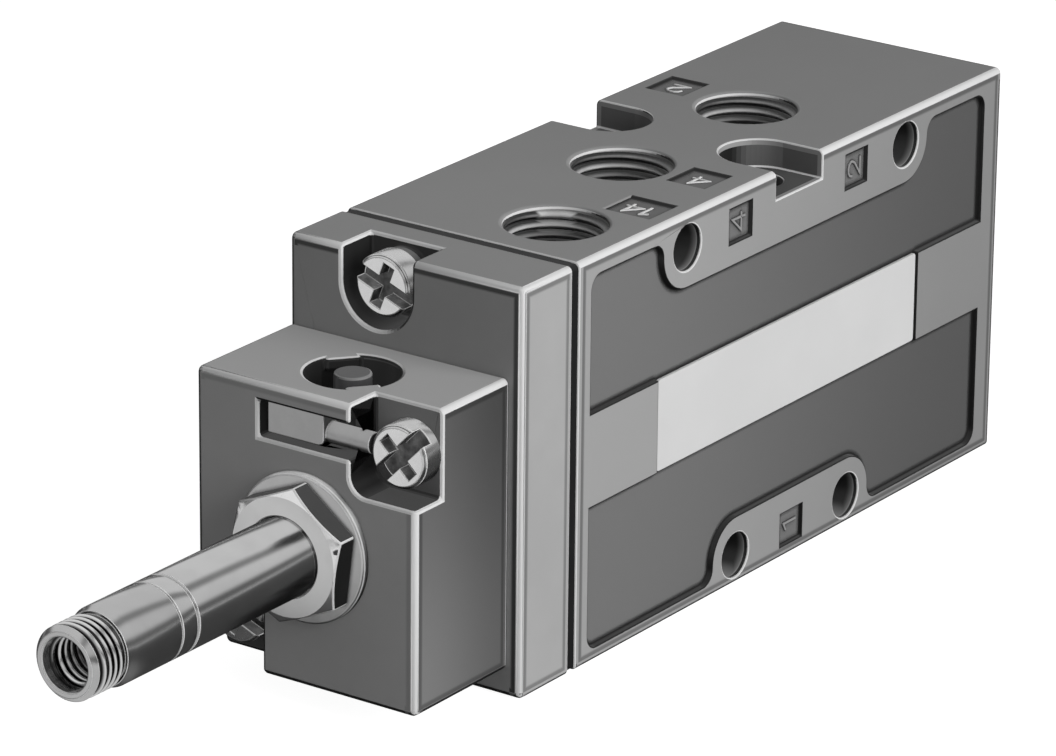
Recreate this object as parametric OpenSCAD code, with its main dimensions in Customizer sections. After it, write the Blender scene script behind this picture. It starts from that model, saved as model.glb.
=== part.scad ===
// Five-port, two-position solenoid valve with air pilot, manual override and spring return.
// Lengths are in millimetres. +X runs from the armature tube to the closed end, +Z is up.
// The origin is the centre of the mouth of supply port 1, in the underside of the valve body.

/* [Valve body] */
// Length of the valve body
body_l = 72; // [72:0.5:90]
// Width of the valve body
body_w = 26; // [26:0.5:34]
// Height of the valve body
body_h = 39.5; // [39:0.5:46]
// Radius along the long upper edges
edge_r = 0.6; // [0.4:0.1:1]
// Radius along the long lower edges
foot_r = 0.4; // [0.2:0.1:0.8]

/* [Ports] */
// Distance between neighbouring port axes
port_pitch = 10.5; // [10:0.1:10.5]
// Radius of the main port threads at the thread root
port_r = 4.87; // [4.5:0.01:4.95]
// Depth of the main port threads
port_depth = 7.6; // [6:0.1:8]
// Radius of the bevel at a port mouth
port_mouth_r = 5.1; // [5.05:0.01:5.3]
// Radius of the drilling from a top or exhaust port to the spool bore
port_drill_r = 3; // [2:0.1:3.2]
// Radius of the drilling from the supply port to the spool bore
supply_drill_r = 4.2; // [4.1:0.1:4.4]
// Distance from the front face to the axis of pilot port 14
pilot_port_x = 7.85; // [7:0.05:8.5]
// Sideways offset of pilot port 14
pilot_port_y = 4.85; // [4.4:0.05:5.2]
// Radius of the small pilot air drillings
pilot_drill_r = 0.8; // [0.5:0.05:0.9]

/* [Fixing holes] */
// Radius of the cross holes through the sides
side_hole_r = 2.25; // [1.8:0.05:2.3]
// Distance between the two upper cross holes
upper_hole_pitch = 37.4; // [36.8:0.1:38]
// Distance of the upper cross holes below the top face
upper_hole_drop = 3.35; // [3.2:0.05:3.6]
// Distance between the two lower cross holes
lower_hole_pitch = 19.2; // [18.4:0.1:20]
// Height of the lower cross holes
lower_hole_z = 2.85; // [2.7:0.05:3.2]
// Width of the slots in the long upper edges
slot_w = 7.9; // [6.4:0.1:8.2]
// Depth of the slots below the top face
slot_depth = 2.8; // [2:0.1:3.5]
// Distance between the two vertical fixing holes
slot_hole_pitch = 17; // [16.8:0.1:18]
// Radius of the vertical fixing holes
slot_hole_r = 2.2; // [1.7:0.05:2.25]

/* [Side relief] */
// Depth of the sunk side panels
relief_depth = 0.5; // [0.3:0.05:0.8]
// Margin of the side panels at the front
relief_front = 2; // [1.5:0.1:3]
// Margin of the side panels at the closed end
relief_rear = 3; // [2:0.1:4]
// Margin of the side panels at the top
relief_top = 1.9; // [1.6:0.1:2.2]
// Margin of the side panels at the bottom
relief_bottom = 1.3; // [1:0.1:1.6]
// Corner radius of the side panels
relief_r = 1.4; // [0.8:0.1:1.8]
// Radius of the raised lobes around the cross holes
lobe_r = 3.95; // [3.2:0.05:4.2]
// Height of the middle of the raised tabs
tab_z = 19.85; // [19:0.1:21]
// Height of the raised tabs
tab_h = 9.2; // [8:0.1:11]
// Length of the front tab
front_tab_l = 11; // [8:0.1:13]
// Length of the rear tab
rear_tab_l = 11.5; // [8:0.1:13]
// Thickness of the name plate
plate_t = 0.35; // [0.2:0.05:0.45]
// Gap around the name plate
plate_gap = 0.1; // [0.05:0.05:0.3]

/* [Port labels] */
// Depth of the sunk label fields
label_depth = 0.3; // [0.2:0.05:0.5]
// Length of a label field on the top face
label_l = 4.5; // [4:0.1:4.6]
// Width of a label field on the top face
label_w = 4.1; // [3.6:0.1:4.4]
// Width of the label field of port 14
long_label_w = 5; // [4.6:0.1:5.2]
// Distance along the body from port 14 to its label field
label_14_x = 8.15; // [7.8:0.05:8.4]
// Sideways distance from port 14 to its label field
label_14_y = 3.7; // [3.4:0.05:4]
// Distance along the body from port 4 to its label field
label_4_x = 0.65; // [0:0.05:1]
// Sideways distance from port 4 to its label field
label_4_y = 8.25; // [8:0.05:8.6]
// Distance along the body from port 2 to its label field
label_2_x = 1.5; // [1:0.05:2]
// Sideways distance from port 2 to its label field
label_2_y = 9.05; // [8.6:0.05:9.4]
// Length of a label field on the side face
side_label_l = 3.7; // [3.2:0.1:4]
// Height of a label field on the side face
side_label_h = 3.4; // [3:0.1:3.6]
// Shift of the side label fields from their ports towards the middle
side_label_shift = 0.6; // [0:0.05:1]

/* [Spool and seals] */
// Height of the spool axis
spool_z = 19.7; // [19.4:0.1:20]
// Radius of the spool lands
spool_r = 4.2; // [3.9:0.05:4.3]
// Radius of the spool grooves
groove_r = 2.9; // [2.6:0.05:3.2]
// Stroke of the spool
stroke = 4; // [3.6:0.1:4]
// Radius of the seal bore in the body
seal_bore_r = 5.3; // [5.1:0.05:5.4]
// Width of a seal ring
seal_w = 3; // [2.6:0.1:3.2]
// Radius of the spring chamber behind the seals
chamber_r = 4.7; // [4.5:0.05:4.8]
// Wall of the spacer cages
cage_wall = 0.55; // [0.4:0.05:0.6]
// Gap between a ring and the bore that holds it
seat_gap = 0.03; // [0.01:0.01:0.05]
// Running gap of moving pieces, on the radius
run_gap = 0.05; // [0.02:0.01:0.08]

/* [Pilot piston] */
// Radius of the piston bore in the body
piston_bore_r = 8; // [7.6:0.05:8.2]
// Thickness of the pilot piston
piston_t = 3; // [2.6:0.1:3.2]
// Gap in front of the pilot piston at rest
piston_rest = 0.3; // [0.2:0.05:0.4]
// Thickness of the washer that holds the seals
stop_t = 0.75; // [0.5:0.05:0.9]
// Thickness of the piston seal ring
piston_ring_t = 1.3; // [1:0.1:1.5]

/* [Closed end] */
// Radius of the end plug bore
plug_bore_r = 6.2; // [5.8:0.1:7]
// Thickness of the end plug
plug_t = 2; // [1.6:0.1:2.1]
// Distance of the retaining ring's groove from the closed end
rear_lip = 0.85; // [0.6:0.05:0.95]
// Thickness of the end plug seal ring
plug_ring_t = 1; // [0.8:0.1:1.2]
// Thickness of the retaining ring
snap_t = 0.8; // [0.6:0.05:0.85]
// Depth of the groove of the retaining ring
snap_groove = 0.5; // [0.3:0.05:0.8]
// Radius of the return spring wire
return_wire_r = 0.3; // [0.2:0.02:0.34]
// Number of turns of the return spring
return_turns = 9; // [6:1:10]
// Depth of the spring pocket in the spool
pocket_depth = 10; // [8:0.5:12]
// Radius of the spring pocket in the spool
pocket_r = 2.6; // [2.3:0.05:2.8]

/* [End cap] */
// Thickness of the front gasket
gasket_t = 1; // [0.5:0.1:1.5]
// Inset of the front gasket from the body sides
gasket_inset = 0.15; // [0.05:0.05:0.4]
// Thickness of the end cap
cap_t = 7.7; // [7.5:0.1:10]
// Sideways offset of the cap screws from the middle
cap_screw_y = 3.2; // [3:0.1:3.5]
// Distance of the cap screws from the top and bottom faces
cap_screw_drop = 3.4; // [3.2:0.1:3.6]
// Radius of the notch around a cap screw
notch_r = 3.95; // [3.6:0.05:4.1]
// Depth of the notch around a cap screw
notch_depth = 4.6; // [4:0.1:5]
// Height of the raised seat under a cap screw
boss_h = 1.4; // [1:0.1:1.8]

/* [Screws] */
// Radius of the screw heads
head_r = 3; // [2.7:0.05:3.1]
// Height of the screw heads
head_h = 2.4; // [2:0.1:2.6]
// Radius of the screw shanks
shank_r = 1.45; // [1.2:0.05:1.5]
// Gap around the screw shanks, on the radius
shank_gap = 0.1; // [0.05:0.05:0.2]
// Length of the cap screws under the head
cap_screw_l = 15; // [13:0.5:15.5]
// Length of the pilot screws under the head
pilot_screw_l = 16; // [14:0.5:16.5]
// Width of the driver slot
slot_cut_w = 1.6; // [1.2:0.05:1.7]
// Width of the cross recess
cross_w = 1.25; // [0.9:0.05:1.4]
// Length of the cross recess
cross_l = 4.4; // [3:0.1:4.6]
// Turn of the driver slot of the upper cap screw
cap_slot_turn = 21; // [-90:1:90]
// Turn of the driver slot of the lower cap screw
low_cap_slot_turn = 70; // [-90:1:90]
// Turn of the driver slot of the upper pilot screw
pilot_slot_turn = -46; // [-90:1:90]
// Turn of the driver slot of the lower pilot screw
low_pilot_slot_turn = 22; // [-90:1:90]
// Depth of the recess in the screw heads
recess_depth = 1.4; // [0.8:0.1:1.6]

/* [Pilot block] */
// Thickness of the pilot block
block_t = 14; // [13.6:0.1:16]
// Width of the pilot block
block_w = 24.4; // [24:0.1:25]
// Height of the pilot block
block_h = 28.1; // [27.8:0.1:29.5]
// Sideways offset of the pilot block
block_y = 0.65; // [0.4:0.05:0.7]
// Height of the middle of the pilot block
block_z = 16.75; // [16.5:0.05:17]
// Sideways distance of a pilot screw from the middle of the block
pilot_screw_y = 9.05; // [8.8:0.05:9.2]
// Vertical distance of a pilot screw from the middle of the block
pilot_screw_z = 9.6; // [9.4:0.05:9.8]
// Sideways distance of a corner pocket's wall from the middle of the block
corner_y = 4.85; // [4.7:0.05:5.2]
// Vertical distance of a corner pocket's floor from the middle of the block
corner_z = 5.6; // [5.4:0.05:6]
// Depth of the corner pockets
corner_depth = 4; // [3.5:0.1:4.5]
// Inner radius of the corner pockets
corner_r = 1.8; // [1:0.1:2]
// Height of the floor of the front window above the middle of the block
window_z = 8.75; // [8.6:0.05:8.8]
// Height of the front window
window_h = 3.5; // [3.3:0.1:3.6]
// Sideways reach of the front window
window_y = 5.25; // [5:0.05:5.6]
// Depth of the front window
window_depth = 3.45; // [3.4:0.05:3.6]
// Thickness of the pilot gasket
seal_plate_t = 0.6; // [0.4:0.1:0.8]
// Width of the pilot gasket
seal_plate_w = 14; // [12:0.5:14.5]
// Height of the pilot gasket
seal_plate_h = 17; // [16.5:0.5:17.5]

/* [Armature tube] */
// Distance of the tube axis below the middle of the pilot block
tube_drop = 0.45; // [0.3:0.05:0.6]
// Outer radius of the armature tube
tube_r = 3.75; // [3.65:0.05:3.85]
// Wall of the armature tube
tube_wall = 0.8; // [0.7:0.05:0.9]
// Thickness of the tube washer
washer_t = 0.8; // [0.5:0.1:1]
// Radius of the tube washer
washer_r = 7.1; // [6.8:0.05:7.4]
// Height of the hexagon of the tube nut
nut_h = 2.5; // [2:0.1:3]
// Width across flats of the tube nut
nut_af = 11.5; // [11:0.1:12]
// Turn of the hexagon about the tube axis
nut_turn = 23; // [0:1:60]
// Length of the threaded neck of the tube nut
neck_l = 4.4; // [4:0.1:4.5]
// Radius of the threaded neck of the tube nut
neck_r = 4.65; // [4.55:0.05:4.7]
// Thickness of the flange of the armature tube
flange_t = 1; // [0.8:0.1:1.2]
// Gap between the tube nut and the tube, on the radius
nut_gap = 0.05; // [0.02:0.01:0.1]
// Undercut of the tube inside the nut, on the radius
undercut = 0.2; // [0.16:0.01:0.3]
// Distance that the undercut runs out in front of the nut
undercut_lead = 0.15; // [0.1:0.05:0.3]
// Thickness of the seal ring behind the tube flange
tube_ring_t = 1; // [0.8:0.1:1.1]
// Reach of the tube from the nut to the end piece
tube_reach = 18.9; // [16:0.1:24]
// Distance of the crimp groove from the end of the tube
crimp_x = 2; // [1.5:0.1:3]
// Width of the crimp groove
crimp_w = 0.4; // [0.2:0.05:0.6]
// Depth of the crimp groove
crimp_depth = 0.25; // [0.1:0.05:0.4]

/* [Pole core and armature] */
// Length of the plain part of the end piece
head_l = 6.8; // [5:0.1:8]
// Length of the outer thread of the end piece
thread_l = 4.3; // [3:0.1:5]
// Radius of the outer thread at its root
thread_root_r = 3.2; // [3.1:0.05:3.3]
// Radius of the outer thread at its crest
thread_crest_r = 3.5; // [3.45:0.05:3.6]
// Length of the plain ring behind the outer thread
run_out = 0.5; // [0.3:0.05:0.8]
// Length of the slope from that ring to the full radius
shoulder_l = 0.45; // [0.3:0.05:0.7]
// Length of the bevelled end
end_l = 0.5; // [0.3:0.1:1]
// Radius of the flat ring at the end
end_r = 3; // [2.85:0.05:3.1]
// Radius of the inner thread at its root
inner_thread_r = 2.5; // [2.3:0.05:2.55]
// Depth of the inner thread
inner_thread_depth = 6; // [5:0.1:8]
// Radius of the bevel of the inner thread
inner_mouth_r = 2.6; // [2.6:0.05:2.75]
// Length of the pole core inside the tube
core_l = 8.1; // [6:0.1:10]
// Stroke of the armature
armature_stroke = 0.8; // [0.6:0.05:1]
// Depth of the spring pocket in the armature
armature_pocket = 8; // [6:0.5:9]
// Radius of the armature spring wire
armature_wire_r = 0.25; // [0.2:0.01:0.3]
// Number of turns of the armature spring
armature_turns = 7; // [5:1:9]
// Radius of the soft pads in the armature
pad_r = 1.5; // [1.3:0.05:1.6]
// Thickness of the soft pads in the armature
pad_t = 1; // [0.8:0.1:1.2]
// Radius of the bleed hole through the core and the valve seat
bleed_r = 0.6; // [0.4:0.05:0.8]
// Radius of the valve seat nozzle
seat_r = 1.1; // [1:0.05:1.2]
// Radius of the valve seat collar
seat_collar_r = 1.9; // [1.7:0.05:2.1]
// Length of the valve seat
seat_l = 4; // [3.6:0.1:4.2]

/* [Manual override] */
// Distance of the override axis behind the front of the block
override_x = 7.1; // [6.9:0.05:7.2]
// Radius of the override well
well_r = 4.4; // [4.2:0.05:4.5]
// Wall between the override well and the bore of the tube
well_wall = 0.97; // [0.8:0.01:1.1]
// Distance of the two lugs from the override axis
lug_y = 3.55; // [3.3:0.05:3.7]
// Width of the two lugs
lug_w = 3.3; // [2.6:0.1:3.8]
// Height of the two lugs
lug_h = 1.2; // [1:0.1:2]
// Turn of the two lugs about the override axis
lug_turn = -40; // [-60:1:0]
// Travel of the override button
override_travel = 1.2; // [0.8:0.05:1.2]
// Radius of the visible tip of the override button
tip_r = 1.75; // [1.5:0.05:2]
// Distance of the tip below the top of the block
tip_drop = 0.05; // [0.05:0.05:0.4]
// Thickness of the override button's flange
button_t = 0.8; // [0.6:0.05:1]
// Radius of the override stem
stem_r = 1; // [0.8:0.05:1.1]
// Thickness of the seal ring on the override stem
stem_ring_t = 0.5; // [0.4:0.05:0.6]
// Radius of the override spring wire
override_wire_r = 0.18; // [0.12:0.02:0.2]
// Number of turns of the override spring
override_turns = 2.5; // [2:0.5:3]
// Radius of the retaining pin
pin_r = 1; // [0.8:0.05:1.1]
// Overlap of the retaining pin with the button's flange
pin_hold = 0.65; // [0.5:0.05:0.7]
// Length of the head of the retaining pin
pin_head_l = 6.2; // [5:0.1:6.6]
// Gap between the retaining pin and the button's flange
pin_gap = 0.05; // [0.02:0.01:0.1]

/* [Hidden] */
$fn = 48;

cut = 0.01;                 // how far a cut runs past a face, so that no skin is left
small_bevel = 0.3;          // bevel on the turned pieces and the screw heads
screw_point = 0.5;          // bevel at the end of a screw
plate_corner_r = 0.3;       // corner radius of the name plate
gasket_lip = 1.5;           // how far the front gasket reaches over the piston bore
groove_slope = 0.6;         // length of the slopes beside the spool lands
tap_run = 0.3;              // how far a screw hole runs past the screw
duct_drop = 1.2;            // depth of the pilot duct below the floor of port 14
spool_tail = 0.25;          // how far the spool stands out of the last seal at rest
chamber_l = 3.6;            // length of the air chamber around the armature's foot
seat_reach = 1.1;           // how far the valve seat stands into that chamber
lip = 0.7;                  // depth of the slopes beside a seal lip
seat_space = 0.4;           // air space behind the valve seat
outlet_lead = 0.3;          // where the pilot outlet starts in that space
duct_lead = 0.1;            // distance of the supply duct from the end of the chamber
duct_break = 0.6;           // how far the supply duct breaks into the chamber
duct_step = 0.05;           // how much narrower its slanted part is, on the radius
seal_plate_drop = 0.75;     // distance of the pilot gasket below the middle of the block
seal_plate_r = 2;           // and its corner radius

// Stations along X
front_x = -body_l / 2;
rear_x = body_l / 2;
cap_rear_x = front_x - gasket_t;
cap_front_x = cap_rear_x - cap_t;
cap_seat_x = cap_front_x + notch_depth - boss_h;
block_front_x = cap_front_x - block_t;
nut_rear_x = block_front_x - washer_t;
nut_front_x = nut_rear_x - nut_h;
tube_end_x = nut_front_x - tube_reach;
thread_x = tube_end_x - head_l;
bevel_x = thread_x - thread_l;
tip_x = bevel_x - end_l;
neck_end_x = nut_rear_x + neck_l;
flange_end_x = neck_end_x + flange_t;
tube_ring_end_x = flange_end_x + tube_ring_t;

// Spool train: port stations -2 to 2 are ports 5, 4, 1, 2 and 3; the seals lie between and outside them
pilot_port_at_x = front_x + pilot_port_x;
function port_x(station) = station * port_pitch;
function seal_x(number) = (number - 3.5) * port_pitch;
first_seal_x = seal_x(1) - seal_w / 2;
last_seal_x = seal_x(6) + seal_w / 2;
stop_x = first_seal_x - stop_t;
piston_x = front_x + piston_rest;
spool_front_x = piston_x + piston_t;
spool_end_x = last_seal_x + spool_tail;
snap_x = rear_x - rear_lip - snap_t;
plug_x = snap_x - run_gap - plug_t;
cage_l = port_pitch - seal_w;
cage_slot_inset = 0.4;      // how much smaller the windows of the cages are than the port drillings
piston_groove_gap = 0.1;    // gap around the piston seal in its groove
plug_groove_gap = 0.05;     // gap around the end plug seal in its groove
plug_dish = 0.6;            // depth of the dish in the end plug
ring_w = 1.5;               // width of the retaining ring, its groove depth included
ring_ear_r = 1.1;           // radius of the ring's two ears
ring_eye_r = 0.5;           // radius of the eye in each ear
ring_ear_y = 1.6;           // distance of the ears from the middle
ring_split = 0.6;           // half the split between them
ring_outer_r = seal_bore_r - seat_gap;
seal_inner_r = spool_r + run_gap;
cage_inner_r = ring_outer_r - cage_wall;
piston_r = piston_bore_r - run_gap;
piston_ring_mid_r = piston_r - piston_ring_t / 2;
plug_r = plug_bore_r - seat_gap;
plug_ring_mid_r = plug_r - plug_ring_t / 2;

// Holes across the body
upper_hole_z = body_h - upper_hole_drop;
slot_floor_z = body_h - slot_depth;
slot_hole_y = slot_hole_pitch / 2;
cap_screw_top_z = body_h - cap_screw_drop;
cap_screw_low_z = cap_screw_drop;
shank_hole_r = shank_r + shank_gap;
supply_duct_y = 4.6;        // the supply duct passes beside the drilling of port 5
supply_duct_z = 10.5;       // and above its thread

// Side relief
panel_front_x = front_x + relief_front;
panel_rear_x = rear_x - relief_rear;
plate_front_x = panel_front_x + front_tab_l;
plate_rear_x = panel_rear_x - rear_tab_l;

// Tube, washer and nut
seam_bevel = 0.12;          // bevels where the end piece meets the tube
crimp_slope = 0.1;          // slopes of the crimp groove
washer_bevel = 0.2;
nut_bevel = 0.55;           // length of the cone that takes off the nut's corners

// Pilot block
block_top_z = block_z + block_h / 2;
tube_z = block_z - tube_drop;
neck_bore_r = neck_r + seat_gap;
block_side_y = block_w / 2;
corner_floor_x = block_front_x + corner_depth;

// Armature
foot_gap = 0.2;             // gap around the armature's foot in its chamber
armature_wall = 1.05;       // wall of the armature around its spring pocket
nose_wall = 0.45;           // wall of the core's nose around the bleed hole
flute_depth = 0.6;          // depth of the two air flutes along the armature
flute_w = 1;                // and their width
nozzle_slope = 0.5;         // length of the slope at the nozzle of the valve seat
tube_bore_r = tube_r - tube_wall;
armature_r = tube_bore_r - run_gap;
chamber_front_x = tube_ring_end_x;
chamber_end_x = chamber_front_x + chamber_l;
seat_x = chamber_end_x - seat_reach;
seat_end_x = seat_x + seat_l;
armature_rear_x = seat_x - run_gap;
core_face_x = tube_end_x + core_l;
armature_front_x = core_face_x + armature_stroke + run_gap;
armature_cavity_r = tube_bore_r + foot_gap;
spring_cavity_r = armature_r - armature_wall;
pad_front_x = armature_front_x + armature_pocket - pad_t;
nose_x = pad_front_x - armature_stroke - run_gap;
nose_r = bleed_r + nose_wall;

// Manual override
pin_lift = 0.25;            // gap under the retaining pin
pin_top_gap = 0.15;         // gap above the head of the pin
pin_end_gap = 0.3;          // gap beside the head of the pin
pin_head_drop = 1.1;        // distance of the head behind the front of the block
pin_corner_r = 0.7;         // rounding of the lower corner of the head
stem_space = 0.35;          // gap around the override stem
stem_foot = 0.65;           // height of the stem's seal ring above its lower end
stem_groove_gap = 0.03;     // gap around the seal ring in its groove
spring_mid_r = 2.4;         // mean radius of the override spring
override_axis_x = block_front_x + override_x;
well_floor_z = tube_z + neck_bore_r + well_wall;
tip_z = block_top_z - tip_drop;
window_floor_z = block_z + window_z;
pin_z = window_floor_z + pin_r + pin_lift;
button_top_z = pin_z - pin_r - pin_gap;
button_low_z = button_top_z - button_t;
button_r = well_r - run_gap;
stem_end_z = tube_z + armature_cavity_r + override_travel + run_gap;
stem_bore_r = stem_r + stem_space;
stem_ring_mid_r = stem_bore_r - run_gap - stem_ring_t / 2;
stem_ring_z = stem_end_z + stem_foot;
pin_x = override_axis_x - button_r + pin_hold - pin_r;

// Small shapes

module rod_x(x0, x1, r, y = 0, z = 0) {
    translate([x0, y, z]) rotate([0, 90, 0]) cylinder(h = x1 - x0, r = r);
}

module rod_y(y0, y1, r, x = 0, z = 0) {
    translate([x, y0, z]) rotate([-90, 0, 0]) cylinder(h = y1 - y0, r = r);
}

module rod_z(z0, z1, r, x = 0, y = 0) {
    translate([x, y, z0]) cylinder(h = z1 - z0, r = r);
}

module block(x, y, z) {
    // a box from three [low, high] pairs
    translate([x[0], y[0], z[0]]) cube([x[1] - x[0], y[1] - y[0], z[1] - z[0]]);
}

module turned_x(profile, y = 0, z = 0) {
    // a turned piece about X from [radius, x] points
    translate([0, y, z]) rotate([0, 90, 0]) rotate_extrude() polygon(profile);
}

module tube_x(x0, x1, outer, inner, y = 0, z = 0) {
    difference() {
        rod_x(x0, x1, outer, y, z);
        rod_x(x0 - cut, x1 + cut, inner, y, z);
    }
}

module ring_x(x, mid_r, thickness, y = 0, z = 0) {
    // a round-section seal ring about X
    translate([x, y, z]) rotate([0, 90, 0])
        rotate_extrude() translate([mid_r, 0]) circle(d = thickness, $fn = 24);
}

module corner_cut(r) {
    // what a round of radius r takes off a square corner at the origin; the piece lies at -x, -y
    difference() {
        translate([-r, -r]) square(r + cut);
        translate([-r, -r]) circle(r);
    }
}

module rounded_rect(w, h, r) {
    square([w - 2 * r, h], center = true);
    square([w, h - 2 * r], center = true);
    for (sx = [-1, 1], sy = [-1, 1])
        translate([sx * (w / 2 - r), sy * (h / 2 - r)]) circle(r);
}

module body_profile(inset = 0) {
    // section of the body and cap across X, drawn as [y, z]
    w = body_w - 2 * inset;
    h = body_h - 2 * inset;
    difference() {
        translate([-w / 2, inset]) square([w, h]);
        for (s = [-1, 1]) {
            translate([s * w / 2, inset + h]) scale([s, 1]) corner_cut(edge_r);
            translate([s * w / 2, inset]) scale([s, -1]) corner_cut(foot_r);
        }
    }
}

module extrude_x(x0, x1) {
    // extrudes a [y, z] drawing from x0 to x1
    translate([x0, 0, 0]) rotate([90, 0, 90]) linear_extrude(x1 - x0) children();
}

function spring_ring(mid_r, wire_r, a, h, sides) = [for (k = [0:sides - 1])
    let (b = 360 * k / sides, r = mid_r + wire_r * cos(b))
    [r * cos(a), r * sin(a), h + wire_r * sin(b)]];

module coil_spring(mid_r, wire_r, length, turns, sides = 6, steps = 14) {
    // a helix along +Z from 0 to length; its first and last half turns lie flat against the seats
    count = floor(turns * steps);
    function climb(i) = let (t = i / count, flat = 0.5 / turns)
        t < flat ? 0 : t > 1 - flat ? 1 : (t - flat) / (1 - 2 * flat);
    rings = [for (i = [0:count])
        spring_ring(mid_r, wire_r, 360 * i / steps, wire_r + (length - 2 * wire_r) * climb(i), sides)];
    points = [for (ring = rings) each ring];
    sheath = [for (i = [0:count - 1], k = [0:sides - 1])
        [i * sides + k, i * sides + (k + 1) % sides,
            (i + 1) * sides + (k + 1) % sides, (i + 1) * sides + k]];
    first = [for (k = [0:sides - 1]) sides - 1 - k];
    last = [for (k = [0:sides - 1]) count * sides + k];
    polyhedron(points, concat([first], sheath, [last]), convexity = 10);
}

module screw(l) {
    // a cheese-head screw with a crossed slot; the head's underside is at the origin, the head at -X
    difference() {
        union() {
            turned_x([[0, -head_h], [head_r - small_bevel, -head_h], [head_r, small_bevel - head_h],
                [head_r, 0], [0, 0]]);
            turned_x([[0, -cut], [shank_r, -cut], [shank_r, l - screw_point],
                [shank_r - screw_point, l], [0, l]]);
        }
        block([-head_h - cut, recess_depth - head_h], [-head_r - cut, head_r + cut],
            [-slot_cut_w / 2, slot_cut_w / 2]);
        block([-head_h - cut, recess_depth - head_h], [-cross_w / 2, cross_w / 2],
            [-cross_l / 2, cross_l / 2]);
    }
}

// Valve body

module threaded_port(x, y, down) {
    // a port cut from the top face, or from the underside when down is false
    z0 = down ? body_h : 0;
    way = down ? -1 : 1;
    bevel = port_mouth_r - port_r;
    translate([x, y, z0]) scale([1, 1, way]) {
        rod_z(-cut, port_depth, port_r);
        translate([0, 0, -cut]) cylinder(h = bevel + cut, r1 = port_mouth_r + cut, r2 = port_r);
    }
}

module panel_outline(with_band) {
    // one sunk side panel as [x, z]; with_band keeps a raised band between the two tabs
    mid_x = (panel_front_x + panel_rear_x) / 2;
    low_z = relief_bottom;
    high_z = body_h - relief_top;
    difference() {
        translate([mid_x, (low_z + high_z) / 2])
            rounded_rect(panel_rear_x - panel_front_x, high_z - low_z, relief_r);
        strip(upper_hole_pitch / 2, upper_hole_z, high_z, 1);
        strip(lower_hole_pitch / 2, lower_hole_z, low_z, -1);
        translate([panel_front_x - cut, tab_z - tab_h / 2]) square([front_tab_l + cut, tab_h]);
        translate([plate_rear_x, tab_z - tab_h / 2]) square([rear_tab_l + cut, tab_h]);
        if (with_band)
            translate([panel_front_x, tab_z - tab_h / 2]) square([panel_rear_x - panel_front_x, tab_h]);
    }
}

module strip(half_pitch, hole_z, edge_z, way) {
    // the raised strip with a lobe around each cross hole, from the holes to the panel's edge
    reach = (edge_z - hole_z) * way;
    translate([0, hole_z]) scale([1, way]) {
        for (s = [-1, 1]) {
            translate([s * half_pitch, 0]) circle(lobe_r);
            translate([s * (half_pitch + lobe_r), reach]) scale([-s, 1]) corner_cut(relief_r);
        }
        translate([-half_pitch, -lobe_r]) square([2 * half_pitch, lobe_r + cut]);
        translate([-half_pitch - lobe_r, 0]) square([2 * (half_pitch + lobe_r), reach + cut]);
    }
}

module fixing_cuts() {
    for (s = [-1, 1]) {
        rod_y(-body_w / 2 - cut, body_w / 2 + cut, side_hole_r, s * upper_hole_pitch / 2, upper_hole_z);
        rod_y(-body_w / 2 - cut, body_w / 2 + cut, side_hole_r, s * lower_hole_pitch / 2, lower_hole_z);
        rod_z(-cut, body_h, slot_hole_r, 0, s * slot_hole_y);
        rod_z(slot_floor_z, body_h + cut, slot_w / 2, 0, s * slot_hole_y);
        scale([1, s, 1]) block([-slot_w / 2, slot_w / 2], [slot_hole_y, body_w / 2 + cut],
            [slot_floor_z, body_h + cut]);
    }
}

function span(mid, size) = [mid - size / 2, mid + size / 2];

module label_cuts() {
    top = [body_h - label_depth, body_h + cut];
    block(span(pilot_port_at_x + label_14_x, label_l), span(-pilot_port_y - label_14_y, long_label_w), top);
    block(span(port_x(-1) + label_4_x, label_l), span(-label_4_y, label_w), top);
    block(span(port_x(1) + label_2_x, label_l), span(label_2_y, label_w), top);
    side = [-body_w / 2 - cut, label_depth - body_w / 2];
    upper = span(upper_hole_z, side_label_h);
    block(span(port_x(-1) + side_label_shift, side_label_l), side, upper);
    block(span(port_x(1) - side_label_shift, side_label_l), side, upper);
    block(span(port_x(0), side_label_l), side, span(lower_hole_z, side_label_h));
}

module spool_cuts() {
    rod_x(front_x - cut, stop_x, piston_bore_r, 0, spool_z);
    rod_x(stop_x - cut, first_seal_x, piston_bore_r, 0, spool_z);
    rod_x(first_seal_x - cut, last_seal_x, seal_bore_r, 0, spool_z);
    rod_x(last_seal_x - cut, plug_x, chamber_r, 0, spool_z);
    rod_x(plug_x, rear_x + cut, plug_bore_r, 0, spool_z);
    rod_x(snap_x, snap_x + snap_t, plug_bore_r + snap_groove, 0, spool_z);
    for (station = [-1, 1])
        rod_z(spool_z, body_h - port_depth + cut, port_drill_r, port_x(station), 0);
    for (station = [-2, 2]) rod_z(port_depth - cut, spool_z, port_drill_r, port_x(station), 0);
    rod_z(port_depth - cut, spool_z, supply_drill_r, 0, 0);
}

module pilot_cuts() {
    // the internal supply duct, and the duct of port 14 that the front gasket closes
    rod_x(front_x - cut, 0, pilot_drill_r, supply_duct_y, supply_duct_z);
    port_floor_z = body_h - port_depth;
    rod_x(front_x - cut, pilot_port_at_x, pilot_drill_r, -pilot_port_y, port_floor_z - duct_drop);
    rod_z(port_floor_z - duct_drop, port_floor_z + cut, pilot_drill_r, pilot_port_at_x, -pilot_port_y);
    for (screw_at = [[cap_screw_y, cap_screw_top_z], [-cap_screw_y, cap_screw_low_z]])
        rod_x(front_x - cut, cap_seat_x + cap_screw_l + tap_run, shank_hole_r,
            screw_at[0], screw_at[1]);
}

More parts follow.
